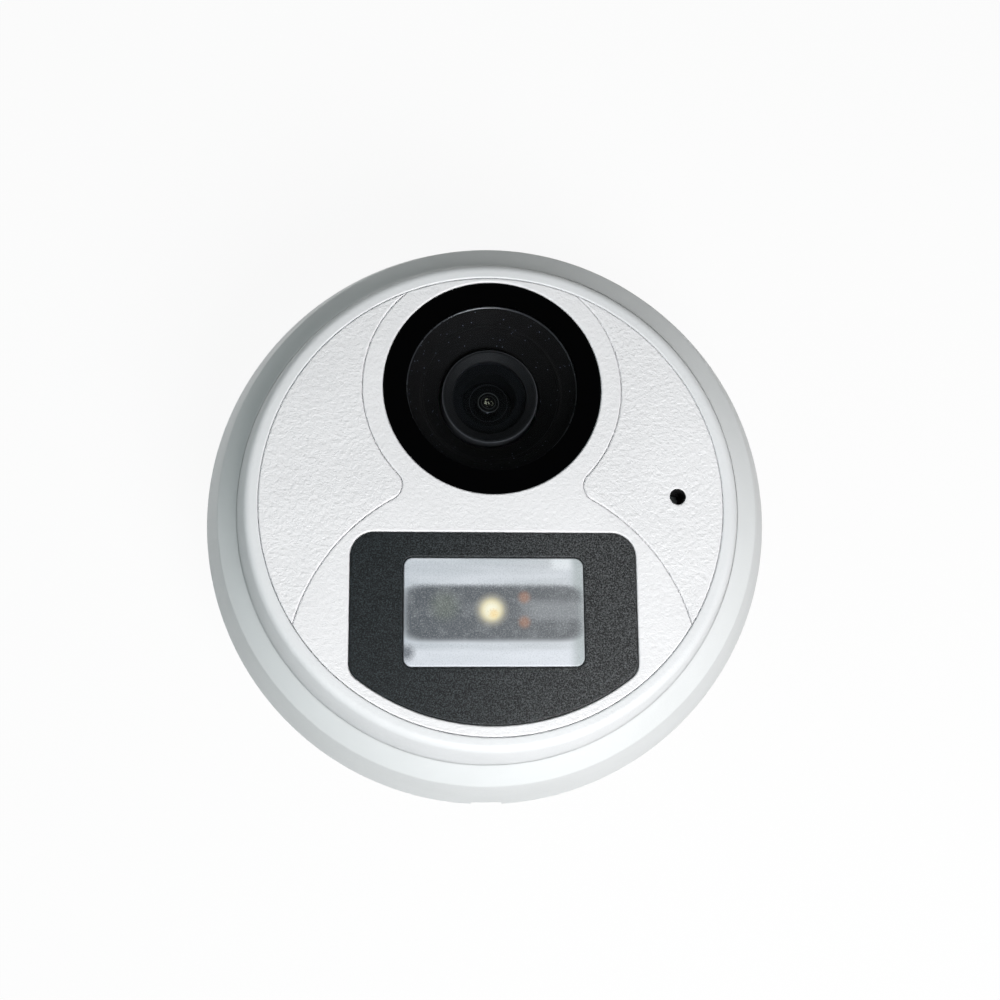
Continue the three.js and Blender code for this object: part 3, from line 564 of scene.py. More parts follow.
def add_piece(node, body, slot, shape, *finishes, cut=None, second=None):
    """Puts a fine piece in the scene in place of its CAD node. Cut is the shape that is taken out of it, and
    second tells from a face's middle whether it has the second finish."""
    place = UPRIGHT if body in ("base", "clamp") else IN_BALL
    mesh = mesh_of(node, shape, place)
    if cut:
        mesh = cut_out(mesh, mesh_of(node + "_cut", cut, place))
    if second:
        back = place.inverted()
        for face in mesh.polygons:
            face.material_index = 1 if second(back @ face.center) else 0
    mesh.shade_smooth()
    mesh.set_sharp_from_angle(angle=SHARP_ANGLE)
    for finish in finishes:
        mesh.materials.append(finish)
    piece = show(node + "_fine", mesh)
    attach(piece, body)
    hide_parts(node)


def from_lens(place):
    """How far a place is from the lens's axis."""
    return (place.xy - Vector(LENS_PLACE)).length


def round_holes(profile, radius, angles):
    """Turned shapes for cutting holes, on a circle at angles in degrees."""
    turns = [math.radians(angle) for angle in angles]
    places = [(radius * math.cos(turn), radius * math.sin(turn)) for turn in turns]
    return several(*(turned(profile, place, HOLE_STEPS) for place in places))


# Finishes

def linear(red, green, blue):
    """A colour given as it looks on a screen, from 0 to 255, as Blender's own values."""
    values = []
    for part in (red / 255, green / 255, blue / 255):
        values.append(part / 12.92 if part <= 0.04045 else ((part + 0.055) / 1.055) ** 2.4)
    return (*values, 1)


class Tree:
    """The nodes of a material or of the world."""

    def __init__(self, owner, output):
        owner.use_nodes = True
        owner.node_tree.nodes.clear()
        self.owner = owner
        self.tree = owner.node_tree
        self.output = self.node(output)

    def put(self, socket, value):
        """Sets a socket to a value, or links it to another socket."""
        if isinstance(value, bpy.types.NodeSocket):
            self.tree.links.new(value, socket)
        else:
            socket.default_value = value

    def node(self, kind, settings=None, **inputs):
        """Adds a node. Inputs are values, or sockets to link."""
        made = self.tree.nodes.new("ShaderNode" + kind)
        for key, value in (settings or {}).items():
            setattr(made, key, value)
        for key, value in inputs.items():
            self.put(made.inputs[key.replace("_", " ")], value)
        return made

    def ramp(self, value, start, end, low=0, high=1):
        """A smooth step from low at start to high at end."""
        ends = {"From_Min": start, "From_Max": end, "To_Min": low, "To_Max": high}
        made = self.node("MapRange", {"interpolation_type": "SMOOTHSTEP"}, Value=value, **ends)
        return made.outputs["Result"]

    def blend(self, factor, first, second):
        """Ends the tree with a mix of two shaders."""
        made = self.node("MixShader", Fac=factor)
        self.put(made.inputs[1], first.outputs[0])
        self.put(made.inputs[2], second.outputs[0])
        self.put(self.output.inputs["Surface"], made.outputs["Shader"])
        return self.owner


class Finish(Tree):
    """A material, with places in millimetres from the ball's centre."""

    def __init__(self, name, place=IN_BALL):
        super().__init__(bpy.data.materials.new(name), "OutputMaterial")
        moved = {"Location": place.translation, "Rotation": place.to_euler(), "Scale": place.to_scale()}
        source = self.node("TexCoord").outputs["Object"]
        made = self.node("Mapping", {"vector_type": "TEXTURE"}, Vector=source, **moved)
        self.place = made.outputs["Vector"]

    def noise(self, scale, detail=2, roughness=0.5, stretch=None):
        """Smooth noise, with scale in turns for each millimetre."""
        place = self.place
        if stretch:
            place = self.node("Mapping", Vector=place, Scale=stretch).outputs["Vector"]
        made = self.node("TexNoise", Vector=place, Scale=scale, Detail=detail, Roughness=roughness)
        return made.outputs["Fac"]

    def cells(self, scale, inner, outer):
        """1 within inner of one of many scattered points, and 0 beyond outer."""
        made = self.node("TexVoronoi", Vector=self.place, Scale=scale)
        return self.ramp(made.outputs["Distance"], inner, outer, 1, 0)

    def math(self, operation, first, second=0.0):
        """One sum of two values."""
        made = self.node("Math", {"operation": operation})
        self.put(made.inputs[0], first)
        self.put(made.inputs[1], second)
        return made.outputs["Value"]

    def mix(self, factor, first, second):
        """A colour between two."""
        made = self.node("Mix", {"data_type": "RGBA"})
        self.put(made.inputs["Factor"], factor)
        self.put(made.inputs[6], first)
        self.put(made.inputs[7], second)
        return made.outputs[2]

    def tones(self, factor, first, second):
        """A colour between two tones from 0 to 255."""
        return self.mix(factor, linear(*first), linear(*second))

    def rough(self, noise, low, high):
        """A roughness that follows a noise."""
        return self.ramp(noise, *NOISE_REACH, low, high)

    def over(self, colour, amount, tone, share=1):
        """A colour with another tone laid over it."""
        return self.mix(self.math("MULTIPLY", amount, share), colour, linear(*tone))

    def parts(self):
        """The x, y and z of the place."""
        split = self.node("SeparateXYZ", Vector=self.place)
        return split.outputs["X"], split.outputs["Y"], split.outputs["Z"]

    def reach(self, centre=(0, 0)):
        """Distance from an upright line through centre."""
        x, y, _ = self.parts()
        side = self.math("SUBTRACT", x, centre[0])
        rise = self.math("SUBTRACT", y, centre[1])
        squares = self.math("ADD", self.math("MULTIPLY", side, side), self.math("MULTIPLY", rise, rise))
        return self.math("SQRT", squares)

    def spot(self, centre, inner, outer):
        """1 within inner of a place on the face, and 0 beyond outer."""
        return self.ramp(self.reach(centre), inner, outer, 1, 0)

    def near(self, centre, wander, inner, outer):
        """Like a spot, with a border that wanders."""
        return self.ramp(self.math("ADD", self.reach(centre), wander), inner, outer, 1, 0)

    def band(self, value, start, end, soft):
        """1 between start and end, with soft borders."""
        rise = self.ramp(value, start - soft, start + soft)
        fall = self.ramp(value, end - soft, end + soft, 1, 0)
        return self.math("MULTIPLY", rise, fall)

    def bump(self, height, depth):
        """A normal from a height, with depth in millimetres."""
        return self.node("Bump", Strength=1, Distance=depth * MM, Height=height).outputs["Normal"]

    def grained(self, colour, grain, low, high, gloss=0.5, depth=None, **inputs):
        """Ends the tree with a surface whose roughness, and bumps if they have a depth, follow a grain."""
        if depth:
            inputs["Normal"] = self.bump(grain, depth)
        rough = self.rough(grain, low, high)
        return self.surface(Base_Color=colour, Roughness=rough, Specular_IOR_Level=gloss, **inputs)

    def surface(self, **inputs):
        """Ends the tree with a principled surface."""
        shader = self.node("BsdfPrincipled", **inputs)
        self.put(self.output.inputs["Surface"], shader.outputs["BSDF"])
        return self.owner


def white_plastic(name, place, grain_depth, tone=WHITE_TONE):
    """Moulded white plastic with a pebbled grain, a little cloudy in tone."""
    finish = Finish(name, place)
    cloud = finish.ramp(finish.noise(0.06, 3), 0.35, 0.65)
    pebbles = finish.noise(1.5, 2, 0.6)
    height = finish.math("ADD", pebbles, finish.math("MULTIPLY", finish.noise(4, 1), 0.25))
    return finish.surface(
        Base_Color=finish.tones(cloud, [part - 4 for part in tone], tone),
        Roughness=finish.rough(pebbles, 0.34, 0.48),
        Specular_IOR_Level=0.46,
        Normal=finish.bump(height, grain_depth),
    )


def charcoal_plastic():
    """Dark plastic round the diffuser, with a fine sparkling grain, and lighter towards the right as painted
    sheen.
    """
    finish = Finish("charcoal_speckle")
    x, _, _ = finish.parts()
    # Painted sheen: the tones grow lighter from left to right
    across = finish.ramp(x, -LIGHT_PANEL_HALF_WIDTH, LIGHT_PANEL_HALF_WIDTH)
    grain = finish.noise(4, 3, 0.85)
    deep = finish.tones(across, (8, 11, 13), (17, 18, 19))
    light = finish.tones(across, (54, 62, 66), (104, 106, 108))
    colour = finish.mix(finish.ramp(grain, 0.42, 0.66), deep, light)
    return finish.grained(colour, grain, 0.4, 0.56, 0.3, 0.06)


def black_border():
    """Glossy black print under the edge of the lens window."""
    finish = Finish("window_black")
    haze = finish.noise(0.4)
    return finish.grained(finish.tones(haze, (1, 1, 1), (2, 2, 3)), haze, 0.05, 0.09, 0.06)


def clear_glass(name, gloss_tone, index, first, second):
    """Clear glass with a faint reflection. Index sets how strong the reflection is."""
    finish = Finish(name)
    tint = finish.tones(finish.noise(0.3), first, second)
    through = finish.node("BsdfTransparent", Color=tint)
    gloss = finish.node("BsdfGlossy", Color=linear(*gloss_tone), Roughness=0.03)
    share = finish.node("Fresnel", IOR=index)
    return finish.blend(share.outputs["Fac"], through, gloss)


def hood_foam():
    """Black foam of the hood, with painted bluish sparkles, and painted shade that darkens it below its step.
    """
    finish = Finish("hood_foam")
    fuzz = finish.noise(4.5, 3, 0.7)
    base = finish.tones(finish.ramp(fuzz, 0.35, 0.7), (7, 6, 6), (18, 16, 16))
    base = finish.over(base, finish.ramp(finish.noise(0.2), 0.35, 0.7), (20, 18, 18), 0.5)
    # Painted shade: below the step the foam is darker
    inside = finish.spot(LENS_PLACE, HOOD_STEP_RADIUS - HOOD_STEP_HEIGHT, HOOD_STEP_RADIUS)
    base = finish.over(base, inside, (4, 4, 5), 0.45)
    # Painted sparkles: small bluish glints laid on as colour
    base = finish.over(base, finish.cells(0.95, 0.05, 0.13), (112, 118, 136), 0.6)
    return finish.grained(base, fuzz, 0.62, 0.85, 0.14, 0.08)


def hood_edge():
    """The smooth lip at the hood's mouth."""
    finish = Finish("hood_edge")
    haze = finish.noise(0.6)
    return finish.grained(finish.tones(haze, (38, 38, 40), (48, 48, 50)), haze, 0.26, 0.32, 1)


def barrel_metal():
    """Black anodised lens barrel with fine turning lines, and a glossier rim that is lighter as a painted
    highlight.
    """
    finish = Finish("barrel_black")
    reach = finish.reach(LENS_PLACE)
    lines = finish.math("SINE", finish.math("MULTIPLY", reach, TURNING_RATE))
    # Painted highlight: the rim is lighter in tone; its lower roughness is a glossier edge
    rim_highlight = finish.ramp(reach, RIM_HIGHLIGHT_START, RIM_HIGHLIGHT_END)
    colour = finish.tones(finish.noise(0.8, 3), (20, 20, 21), (27, 27, 28))
    return finish.surface(
        Base_Color=finish.over(colour, rim_highlight, (78, 78, 80)),
        Roughness=finish.ramp(rim_highlight, 0, 1, 0.62, 0.36),
        Specular_IOR_Level=0.16,
        Normal=finish.bump(lines, 0.002),
    )


def coated_glass(name, film):
    """Dark lens glass with a thin coloured coating. Film is its thickness in nanometres."""
    finish = Finish(name)
    depth = finish.ramp(finish.reach(LENS_PLACE), 0, FRONT_GLASS_RADIUS)
    return finish.surface(
        Base_Color=finish.tones(depth, (7, 8, 13), (16, 17, 20)),
        Roughness=0.03,
        Specular_IOR_Level=0.5,
        Thin_Film_Thickness=film,
        Thin_Film_IOR=1.38,
    )


def ringed_glass():
    """Dark glass with faint light rings that stand for the edges of inner elements, and a few small warm
    glints in its middle, all painted, with a painted glow over the whole.
    """
    finish = Finish("middle_lens_glints")
    reach = finish.reach(GLASS_RING_PLACE)
    colour = finish.tones(finish.ramp(reach, 0, MIDDLE_GLASS_RADIUS), (3, 3, 4), (5, 5, 6))
    # Painted light rings, standing for the lit edges of the inner elements
    for radius, tone in GLASS_RINGS:
        start = radius - GLASS_RING_HALF_WIDTH
        end = radius + GLASS_RING_HALF_WIDTH
        colour = finish.over(colour, finish.band(reach, start, end, GLASS_RING_SOFT), tone)
    # Painted glints
    middle = finish.ramp(reach, GLINT_INNER_RADIUS, GLINT_OUTER_RADIUS, 1, 0)
    glints = finish.ramp(finish.noise(GLINT_TURNS, 2, 0.6), 0.54, 0.62)
    colour = finish.over(colour, finish.math("MULTIPLY", middle, glints), (252, 246, 206))
    return finish.surface(
        Base_Color=colour,
        Roughness=0.06,
        Specular_IOR_Level=0.3,
        # The whole element glows a little: painted glow
        Emission_Color=colour,
        Emission_Strength=PAINTED_GLOW_STRENGTH,
    )


def frosted_diffuser():
    """Frosted plastic over the light unit: the white reflector, the board and its lights show through it."""
    finish = Finish("frosted_diffuser")
    x, y, _ = finish.parts()
    grain = finish.noise(4, 3, 0.85)
    wander = finish.math("MULTIPLY", finish.math("SUBTRACT", grain, 0.5), BORDER_WANDER)
    level = finish.math("ADD", y, wander)
    side = finish.math("ADD", x, wander)
    across = finish.ramp(x, *SEEN_SHADES)
    streaks = finish.ramp(finish.noise(1, 2, 0.5, (0.05, 0.4, 1)), 0.35, 0.7)

    colour = finish.tones(across, (196, 202, 209), (202, 206, 211))
    colour = finish.over(colour, streaks, (230, 233, 240), 0.5)
    colour = finish.over(colour, finish.ramp(level, *SEEN_FOOT_STRIP, 1, 0), (232, 235, 243), 0.5)
    colour = finish.over(colour, finish.ramp(side, *SEEN_RIGHT_STRIP), (168, 177, 178), 0.7)
    # Painted highlight: a gleam in a band near the right side, above the board
    gleam = finish.band(side, *GLEAM_SIDES, SOFT_BORDER)
    gleam = finish.math("MULTIPLY", gleam, finish.ramp(level, *GLEAM_LEVELS))
    colour = finish.over(colour, gleam, (236, 240, 244), 0.8)

    board = finish.tones(across, (89, 94, 100), (108, 111, 115))
    patch = finish.band(level, *PALE_PATCH_LEVELS, SOFT_BORDER)
    patch = finish.math("MULTIPLY", patch, finish.ramp(side, *PALE_PATCH_SIDES))
    board = finish.over(board, patch, (150, 153, 157), 0.75)
    board = finish.over(board, finish.ramp(finish.noise(0.35), 0.45, 0.65), (142, 146, 149), 0.3)
    board = finish.over(board, finish.spot(*SECOND_LIGHT), (116, 124, 112), 0.5)
    colour = finish.mix(rounded_block(finish, side, level), colour, board)

    # The spots include the painted glow round the white light
    for centre, inner, outer, tone, strength in SEEN_SPOTS:
        colour = finish.over(colour, finish.near(centre, wander, inner, outer), tone, strength)
    colour = finish.over(colour, finish.ramp(grain, 0.46, 0.72), (250, 252, 255), 0.22)
    colour = finish.over(colour, finish.ramp(grain, 0.5, 0.26), (40, 44, 50), 0.24)
    return finish.grained(colour, grain, 0.42, 0.55, 0.3, 0.02)


def rounded_block(finish, *values):
    """1 inside the board seen through the diffuser, with rounded soft corners."""
    powers = []
    sizes = (SEEN_BOARD_MIDDLE, SEEN_BOARD_HALVES, SEEN_BOARD_SQUARENESS)
    for value, middle, half, squareness in zip(values, *sizes):
        away = finish.math("ABSOLUTE", finish.math("SUBTRACT", value, middle))
        powers.append(finish.math("POWER", finish.math("DIVIDE", away, half), squareness))
    return finish.ramp(finish.math("ADD", *powers), *SEEN_BOARD_FADE, 1, 0)


def black_plastic(name):
    """Black moulded plastic with a fine spark-eroded grain."""
    finish = Finish(name)
    grain = finish.noise(3, 3, 0.6)
    return finish.grained(finish.tones(grain, (20, 20, 21), (34, 34, 35)), grain, 0.5, 0.7, 0.35, 0.02)


def rubber(name, place=IN_BALL):
    """Matt dark rubber with a dusty bloom."""
    finish = Finish(name, place)
    bloom = finish.ramp(finish.noise(0.25, 4, 0.6), 0.4, 0.75)
    grain = finish.noise(4)
    return finish.grained(finish.tones(bloom, (27, 27, 28), (48, 48, 49)), grain, 0.78, 0.92, 0.25, 0.015)


def circuit_board(name, mask, copper):
    """A board's lacquer over copper tracks, with small tinned pads."""
    finish = Finish(name)
    x, y, _ = finish.parts()
    track = finish.node("Mix", {"data_type": "FLOAT"})
    finish.put(track.inputs[0], finish.ramp(finish.noise(0.22, 1), 0.48, 0.52))
    for socket, way in ((track.inputs[2], x), (track.inputs[3], y)):
        finish.put(socket, finish.math("SINE", finish.math("MULTIPLY", way, TRACK_RATE)))
    blocks = finish.ramp(finish.noise(0.35, 0), 0.45, 0.5)
    tracks = finish.math("MULTIPLY", finish.ramp(track.outputs[0], 0.45, 0.6), blocks)
    pads = finish.cells(0.55, 0.13, 0.17)
    return finish.surface(
        Base_Color=finish.over(finish.tones(tracks, mask, copper), pads, (186, 188, 186)),
        Roughness=finish.ramp(pads, 0, 1, 0.34, 0.28),
        Specular_IOR_Level=0.5,
        Normal=finish.bump(finish.math("ADD", tracks, pads), 0.035),
    )


def chip_plastic():
    """Dark epoxy of a chip, with a faint ground texture."""
    finish = Finish("chip_epoxy")
    grain = finish.noise(6, 3, 0.7)
    return finish.grained(finish.tones(grain, (26, 26, 28), (42, 42, 44)), grain, 0.42, 0.6, depth=0.01)


def metal(name, tone, line_scale, grain_depth, roughness):
    """Bare metal with streaks from its making."""
    finish = Finish(name)
    streaks = finish.noise(1.6, 4, 0.65, (1, line_scale, line_scale))
    colour = finish.tones(finish.ramp(streaks, 0.35, 0.7), [part - 26 for part in tone], tone)
    low = roughness - 0.08
    high = roughness + 0.08
    return finish.grained(colour, streaks, low, high, depth=grain_depth, Metallic=1)


def tinted(name, first, second, scale, roughness, depth):
    """A small part's own colour with fine mottling."""
    finish = Finish(name)
    grain = finish.noise(scale, 3, 0.6)
    colour = finish.tones(finish.ramp(grain, 0.35, 0.65), first, second)
    return finish.grained(colour, grain, roughness - 0.06, roughness + 0.06, depth=depth)


def floor_finish():
    """Plain pale paper, seen white with a light shadow."""
    finish = Finish("floor_paper", UPRIGHT)
    ray = finish.node("LightPath")
    seen = finish.math("MAXIMUM", ray.outputs["Is Camera Ray"], ray.outputs["Is Glossy Ray"])
    seen = finish.math("MAXIMUM", seen, ray.outputs["Is Transmission Ray"])
    _, y, _ = finish.parts()
    bounce = finish.tones(finish.ramp(y, *FLOOR_BOUNCE_REACH), FLOOR_BOUNCE_FRONT, FLOOR_BOUNCE_BACK)
    tone = finish.mix(seen, bounce, finish.tones(finish.noise(0.2, 3), *FLOOR_TONES))
    matt = finish.node("BsdfDiffuse", Color=tone)
    glow = finish.node("Emission", Color=(1, 1, 1, 1), Strength=1)
    return finish.blend(finish.math("MULTIPLY", seen, FLOOR_GLOW), matt, glow)


# Pieces of the ball

def parting_edge(height, next_height):
    """The rounded edge of a shell's end face, which goes on along the ball to the next height."""
    radius = sphere_at(BALL_RADIUS, height)
    end = (sphere_at(BALL_RADIUS, next_height), next_height)
    return curve((radius - PARTING_EDGE, height), (radius, height), end)


def front_shell():
    """The ball's front, with the rim round the face."""
    low = PARTING_HEIGHT + PARTING_GAP
    start = low + PARTING_EDGE
    round_start = FACE_HEIGHT - FACE_EDGE_ROUND
    round_end = FACE_RADIUS - FACE_EDGE_ROUND
    bore = SEAM_RADIUS + HOLE_GROW
    ledge_top = COVER_FOOT - WORKING_GAP
    ledge_foot = ledge_top - COVER_LEDGE_THICKNESS
    side = sphere_arc(BALL_RADIUS, start, round_start)
    profile = [
        *parting_edge(low, start)[:-1],
        *side,
        *curve(side[-1], (FACE_RADIUS, FACE_HEIGHT), (round_end, FACE_HEIGHT), LONG_ROUND_STEPS)[1:],
        (bore + SEAM_EDGE + HOLDING_WIDTH, FACE_HEIGHT),
        *rounded((bore, FACE_HEIGHT), (SEAM_EDGE, 0), (0, -SEAM_EDGE)),
        (bore, ledge_top),
        (COVER_LEDGE_RADIUS, ledge_top),
        (COVER_LEDGE_RADIUS, ledge_foot),
        *sphere_arc(BALL_RADIUS - SHELL_WALL, ledge_foot, low),
    ]
    finish = white_plastic("shell_white", IN_BALL, RIM_GRAIN, RIM_TONE)
    add_piece("front_shell", "ball", "white_housing", turned(profile), finish)


def rear_shell():
    """The ball's rear, with its flat, screw holes and gland hole."""
    high = PARTING_HEIGHT - PARTING_GAP
    end = high - PARTING_EDGE
    inner = BALL_RADIUS - SHELL_WALL
    foot = -REAR_FLAT_DEPTH
    flat_radius = sphere_at(BALL_RADIUS, REAR_FLAT_DEPTH)
    side = sphere_arc(BALL_RADIUS, foot + REAR_FLAT_ROUND, end)
    profile = [
        (GLAND_HOLE_RADIUS, foot),
        *curve((flat_radius - REAR_FLAT_ROUND, foot), (flat_radius, foot), side[0]),
        *side[1:],
        *reversed(parting_edge(high, end)[:-1]),
        *sphere_arc(inner, high, CHASSIS_LEDGE_TOP, ROUND_STEPS),
        (CHASSIS_LEDGE_RADIUS, CHASSIS_LEDGE_TOP),
        (CHASSIS_LEDGE_RADIUS, CHASSIS_LEDGE_FOOT),
        *sphere_arc(inner, CHASSIS_LEDGE_FOOT, REAR_FLOOR),
        (GLAND_HOLE_RADIUS, REAR_FLOOR),
    ]
    shoulder = foot + SCREW_HOLE_DEPTH
    screw_hole = [
        (0, foot - OVERRUN),
        (SCREW_HOLE_RADIUS, foot - OVERRUN),
        (SCREW_HOLE_RADIUS, shoulder),
        (SCREW_SHANK_HOLE_RADIUS, shoulder),
        (SCREW_SHANK_HOLE_RADIUS, REAR_FLOOR + OVERRUN),
        (0, REAR_FLOOR + OVERRUN),
    ]
    holes = round_holes(screw_hole, SCREW_CIRCLE_RADIUS, SCREW_ANGLES)
    finish = white_plastic("rear_white", IN_BALL, PLAIN_GRAIN)
    add_piece("rear_shell", "ball", "white_housing", turned(profile), finish, cut=holes)


def face_cover():
    """The disc under the face, with the two sides that stand up beside the centre panel."""
    def in_mic_hole(place):
        return (place.xy - Vector(MIC_PLACE)).length < MIC_HOLE_RADIUS + MIC_SHADE_REACH

    rim = (round_outline((0, 0), SEAM_RADIUS), PLATE_GROW)
    lens_hole = (round_outline(LENS_PLACE, WINDOW_LEDGE_RADIUS), 0)
    light_hole = (light_window_outline, -DIFFUSER_LEDGE)
    mic_hole = (round_outline(MIC_PLACE, MIC_HOLE_RADIUS, HOLE_STEPS), 0)
    side_foot = POCKET_FLOOR - WORKING_GAP
    shape = several(
        plate(COVER_FOOT, POCKET_FLOOR, HIDDEN_EDGE, rim, lens_hole, light_hole, mic_hole),
        plate(side_foot, FACE_HEIGHT, SEAM_EDGE, (right_lune, 0), mic_hole),
        plate(side_foot, FACE_HEIGHT, SEAM_EDGE, (left_lune, 0)),
    )
    cover = white_plastic("cover_white", IN_BALL, COVER_GRAIN, FACE_TONE)
    # Painted shade: the walls of the microphone hole are painted black
    hole_shade = black_plastic("hole_lining")
    add_piece("face_cover", "ball", "white_cover", shape, cover, hole_shade, second=in_mic_hole)


def centre_panel():
    """The hourglass panel with the openings for the lens window and the light panel."""
    window_hole = (round_outline(LENS_PLACE, WINDOW_RADIUS), WINDOW_GAP)
    light_hole = (light_panel_outline, HOLE_GROW)
    shape = plate(PLATE_FOOT, FACE_HEIGHT, SEAM_EDGE, (hourglass, PLATE_GROW), window_hole, light_hole)
    finish = white_plastic("panel_white", IN_BALL, PANEL_GRAIN, FACE_TONE)
    add_piece("centre_panel", "ball", "white_cover", shape, finish)


def lens_window():
    """The round window: clear in the middle, with a black printed border."""
    def in_border(place):
        return from_lens(place) > WINDOW_CLEAR_RADIUS

    foot = PLATE_TOP - WINDOW_THICKNESS
    profile = [
        (0, foot),
        (WINDOW_CLEAR_RADIUS, foot),
        (WINDOW_RADIUS, foot),
        (WINDOW_RADIUS, PLATE_TOP - WINDOW_EDGE),
        (WINDOW_RADIUS - WINDOW_EDGE, PLATE_TOP),
        (WINDOW_CLEAR_RADIUS, PLATE_TOP),
        (0, PLATE_TOP),
    ]
    glass = clear_glass("window_clear", (255, 255, 255), 1.15, (244, 247, 250), (250, 251, 252))
    shape = turned(profile, LENS_PLACE)
    add_piece("lens_window", "ball", "window_glass", shape, glass, black_border(), second=in_border)


def lens_hood():
    """The dark funnel behind the window, with a step half way down."""
    top = PLATE_TOP - WINDOW_THICKNESS - WORKING_GAP
    edge = HOOD_RIM_ROUND
    step = HOOD_STEP_HEIGHT
    step_top = top - HOOD_STEP_DROP + step
    throat_top = top - HOOD_THROAT_DROP + edge

    def in_lip(place):
        return place.z > top - HOOD_LIP_DEPTH

    profile = [
        (HOOD_THROAT_RADIUS, HOOD_FOOT),
        (HOOD_RADIUS, HOOD_FOOT),
        *rounded((HOOD_RADIUS, top), (0, -edge), (-edge, 0)),
        *rounded((HOOD_MOUTH_RADIUS, top), (edge, 0), (-edge, -edge)),
        *rounded((HOOD_STEP_RADIUS, step_top), (step, 0), (0, -step)),
        *rounded((HOOD_THROAT_RADIUS, throat_top), (edge, 0), (0, -edge)),
    ]
    shape = turned(profile, LENS_PLACE)
    add_piece("lens_hood", "ball", "black_plastic", shape, hood_foam(), hood_edge(), second=in_lip)


def lens_barrel():
    """The lens barrel: a rim, a cone down to the front glass, and stepped bores behind it."""
    front_bore = FRONT_GLASS_RADIUS + GLASS_GAP
    middle_bore = MIDDLE_GLASS_RADIUS + GLASS_GAP
    front_shelf = FRONT_GLASS_FOOT - GLASS_GAP
    middle_shelf = MIDDLE_GLASS_FOOT - GLASS_GAP
    cone_foot = BARREL_TOP - BARREL_CONE_DROP
    edge = BARREL_RIM_WIDTH / 2
    profile = [
        (BARREL_LIP_RADIUS, BARREL_FOOT),
        (BARREL_THREAD_RADIUS, BARREL_FOOT),
        (BARREL_THREAD_RADIUS, BARREL_HEAD_FOOT),
        (BARREL_HEAD_RADIUS, BARREL_HEAD_FOOT),
        (BARREL_HEAD_RADIUS, BARREL_TOP - BARREL_RIM_WIDTH),
        *rounded((BARREL_HEAD_RADIUS, BARREL_TOP), (0, -edge), (-edge, 0)),
        (BARREL_HEAD_RADIUS - BARREL_RIM_WIDTH, BARREL_TOP),
        (BARREL_CONE_RADIUS, cone_foot),
        (front_bore, cone_foot),
        (front_bore, front_shelf),
        (middle_bore, front_shelf),
        (middle_bore, middle_shelf),
        (REAR_BORE_RADIUS, middle_shelf),
        (REAR_BORE_RADIUS, BARREL_FOOT + BARREL_LIP_THICKNESS),
        (BARREL_LIP_RADIUS, BARREL_FOOT + BARREL_LIP_THICKNESS),
    ]
    shape = turned(profile, LENS_PLACE, SMALL_TURN_STEPS)
    add_piece("lens_barrel", "ball", "black_metal", shape, barrel_metal())


def glass_element(node, radius, dome_radius, foot, edge, rise, finish):
    """A lens element with a flat back and a domed front, the dome as wide as the element or narrower."""
    dome = []
    height = rise - edge
    bend = (dome_radius ** 2 + height ** 2) / (2 * height)
    for i in range(LONG_ROUND_STEPS):
        reach = dome_radius * (1 - i / LONG_ROUND_STEPS)
        dome.append((reach, foot + rise - bend + sphere_at(bend, reach)))
    shoulder = [(radius, foot + edge)] if dome_radius < radius else []
    profile = [(0, foot), (radius, foot), *shoulder, *dome, (0, foot + rise)]
    add_piece(node, "ball", "lens_glass", turned(profile, LENS_PLACE, SMALL_TURN_STEPS), finish)


def front_lens():
    """The shallow clear element in the barrel's mouth."""
    finish = clear_glass("front_lens_glass", (236, 238, 244), 1.14, (218, 222, 226), (226, 228, 230))
    radius = FRONT_GLASS_RADIUS
    glass_element("front_lens", radius, radius, FRONT_GLASS_FOOT, FRONT_GLASS_EDGE, FRONT_GLASS_RISE, finish)


def middle_lens():
    """The small strongly domed element behind the front one, with painted glints."""
    glass_element(
        "middle_lens", MIDDLE_GLASS_RADIUS, MIDDLE_DOME_RADIUS, MIDDLE_GLASS_FOOT, MIDDLE_GLASS_EDGE,
        MIDDLE_GLASS_RISE, ringed_glass(),
    )


def light_panel():
    """The dark panel round the diffuser."""
    outside = (light_panel_outline, PLATE_GROW)
    shape = plate(PLATE_FOOT, PLATE_TOP, SEAM_EDGE, outside, (light_window_outline, HOLE_GROW))
    add_piece("light_panel", "ball", "charcoal_panel", shape, charcoal_plastic())


def light_diffuser():
    """The frosted plate in the dark panel."""
    shape = plate(PLATE_FOOT, FACE_HEIGHT - DIFFUSER_SINK, SEAM_EDGE, (light_window_outline, PLATE_GROW))
    add_piece("light_diffuser", "ball", "frosted_plastic", shape, frosted_diffuser())


def sleeve_foot(bore, radius, foot, edge):
    """The two rounded edges at the foot of a sleeve."""
    inside = rounded((bore, foot), (0, edge), (edge, 0))
    return inside + rounded((radius, foot), (-edge, 0), (0, edge))


def tail_gland():
    """The gland on the ball's rear flat."""
    top = -REAR_FLAT_DEPTH - WORKING_GAP
    foot = top - GLAND_FLANGE_THICKNESS
    profile = [
        *sleeve_foot(GLAND_BORE_RADIUS, GLAND_FLANGE_RADIUS, foot, GLAND_EDGE),
        (GLAND_FLANGE_RADIUS, top),
        (GLAND_NECK_RADIUS, top),
        (GLAND_NECK_RADIUS, top + GLAND_NECK_LENGTH),
        (GLAND_BORE_RADIUS, top + GLAND_NECK_LENGTH),
    ]
    shape = turned(profile, steps=SMALL_TURN_STEPS)
    add_piece("tail_gland", "tail", "black_plastic", shape, black_plastic("gland_black"))


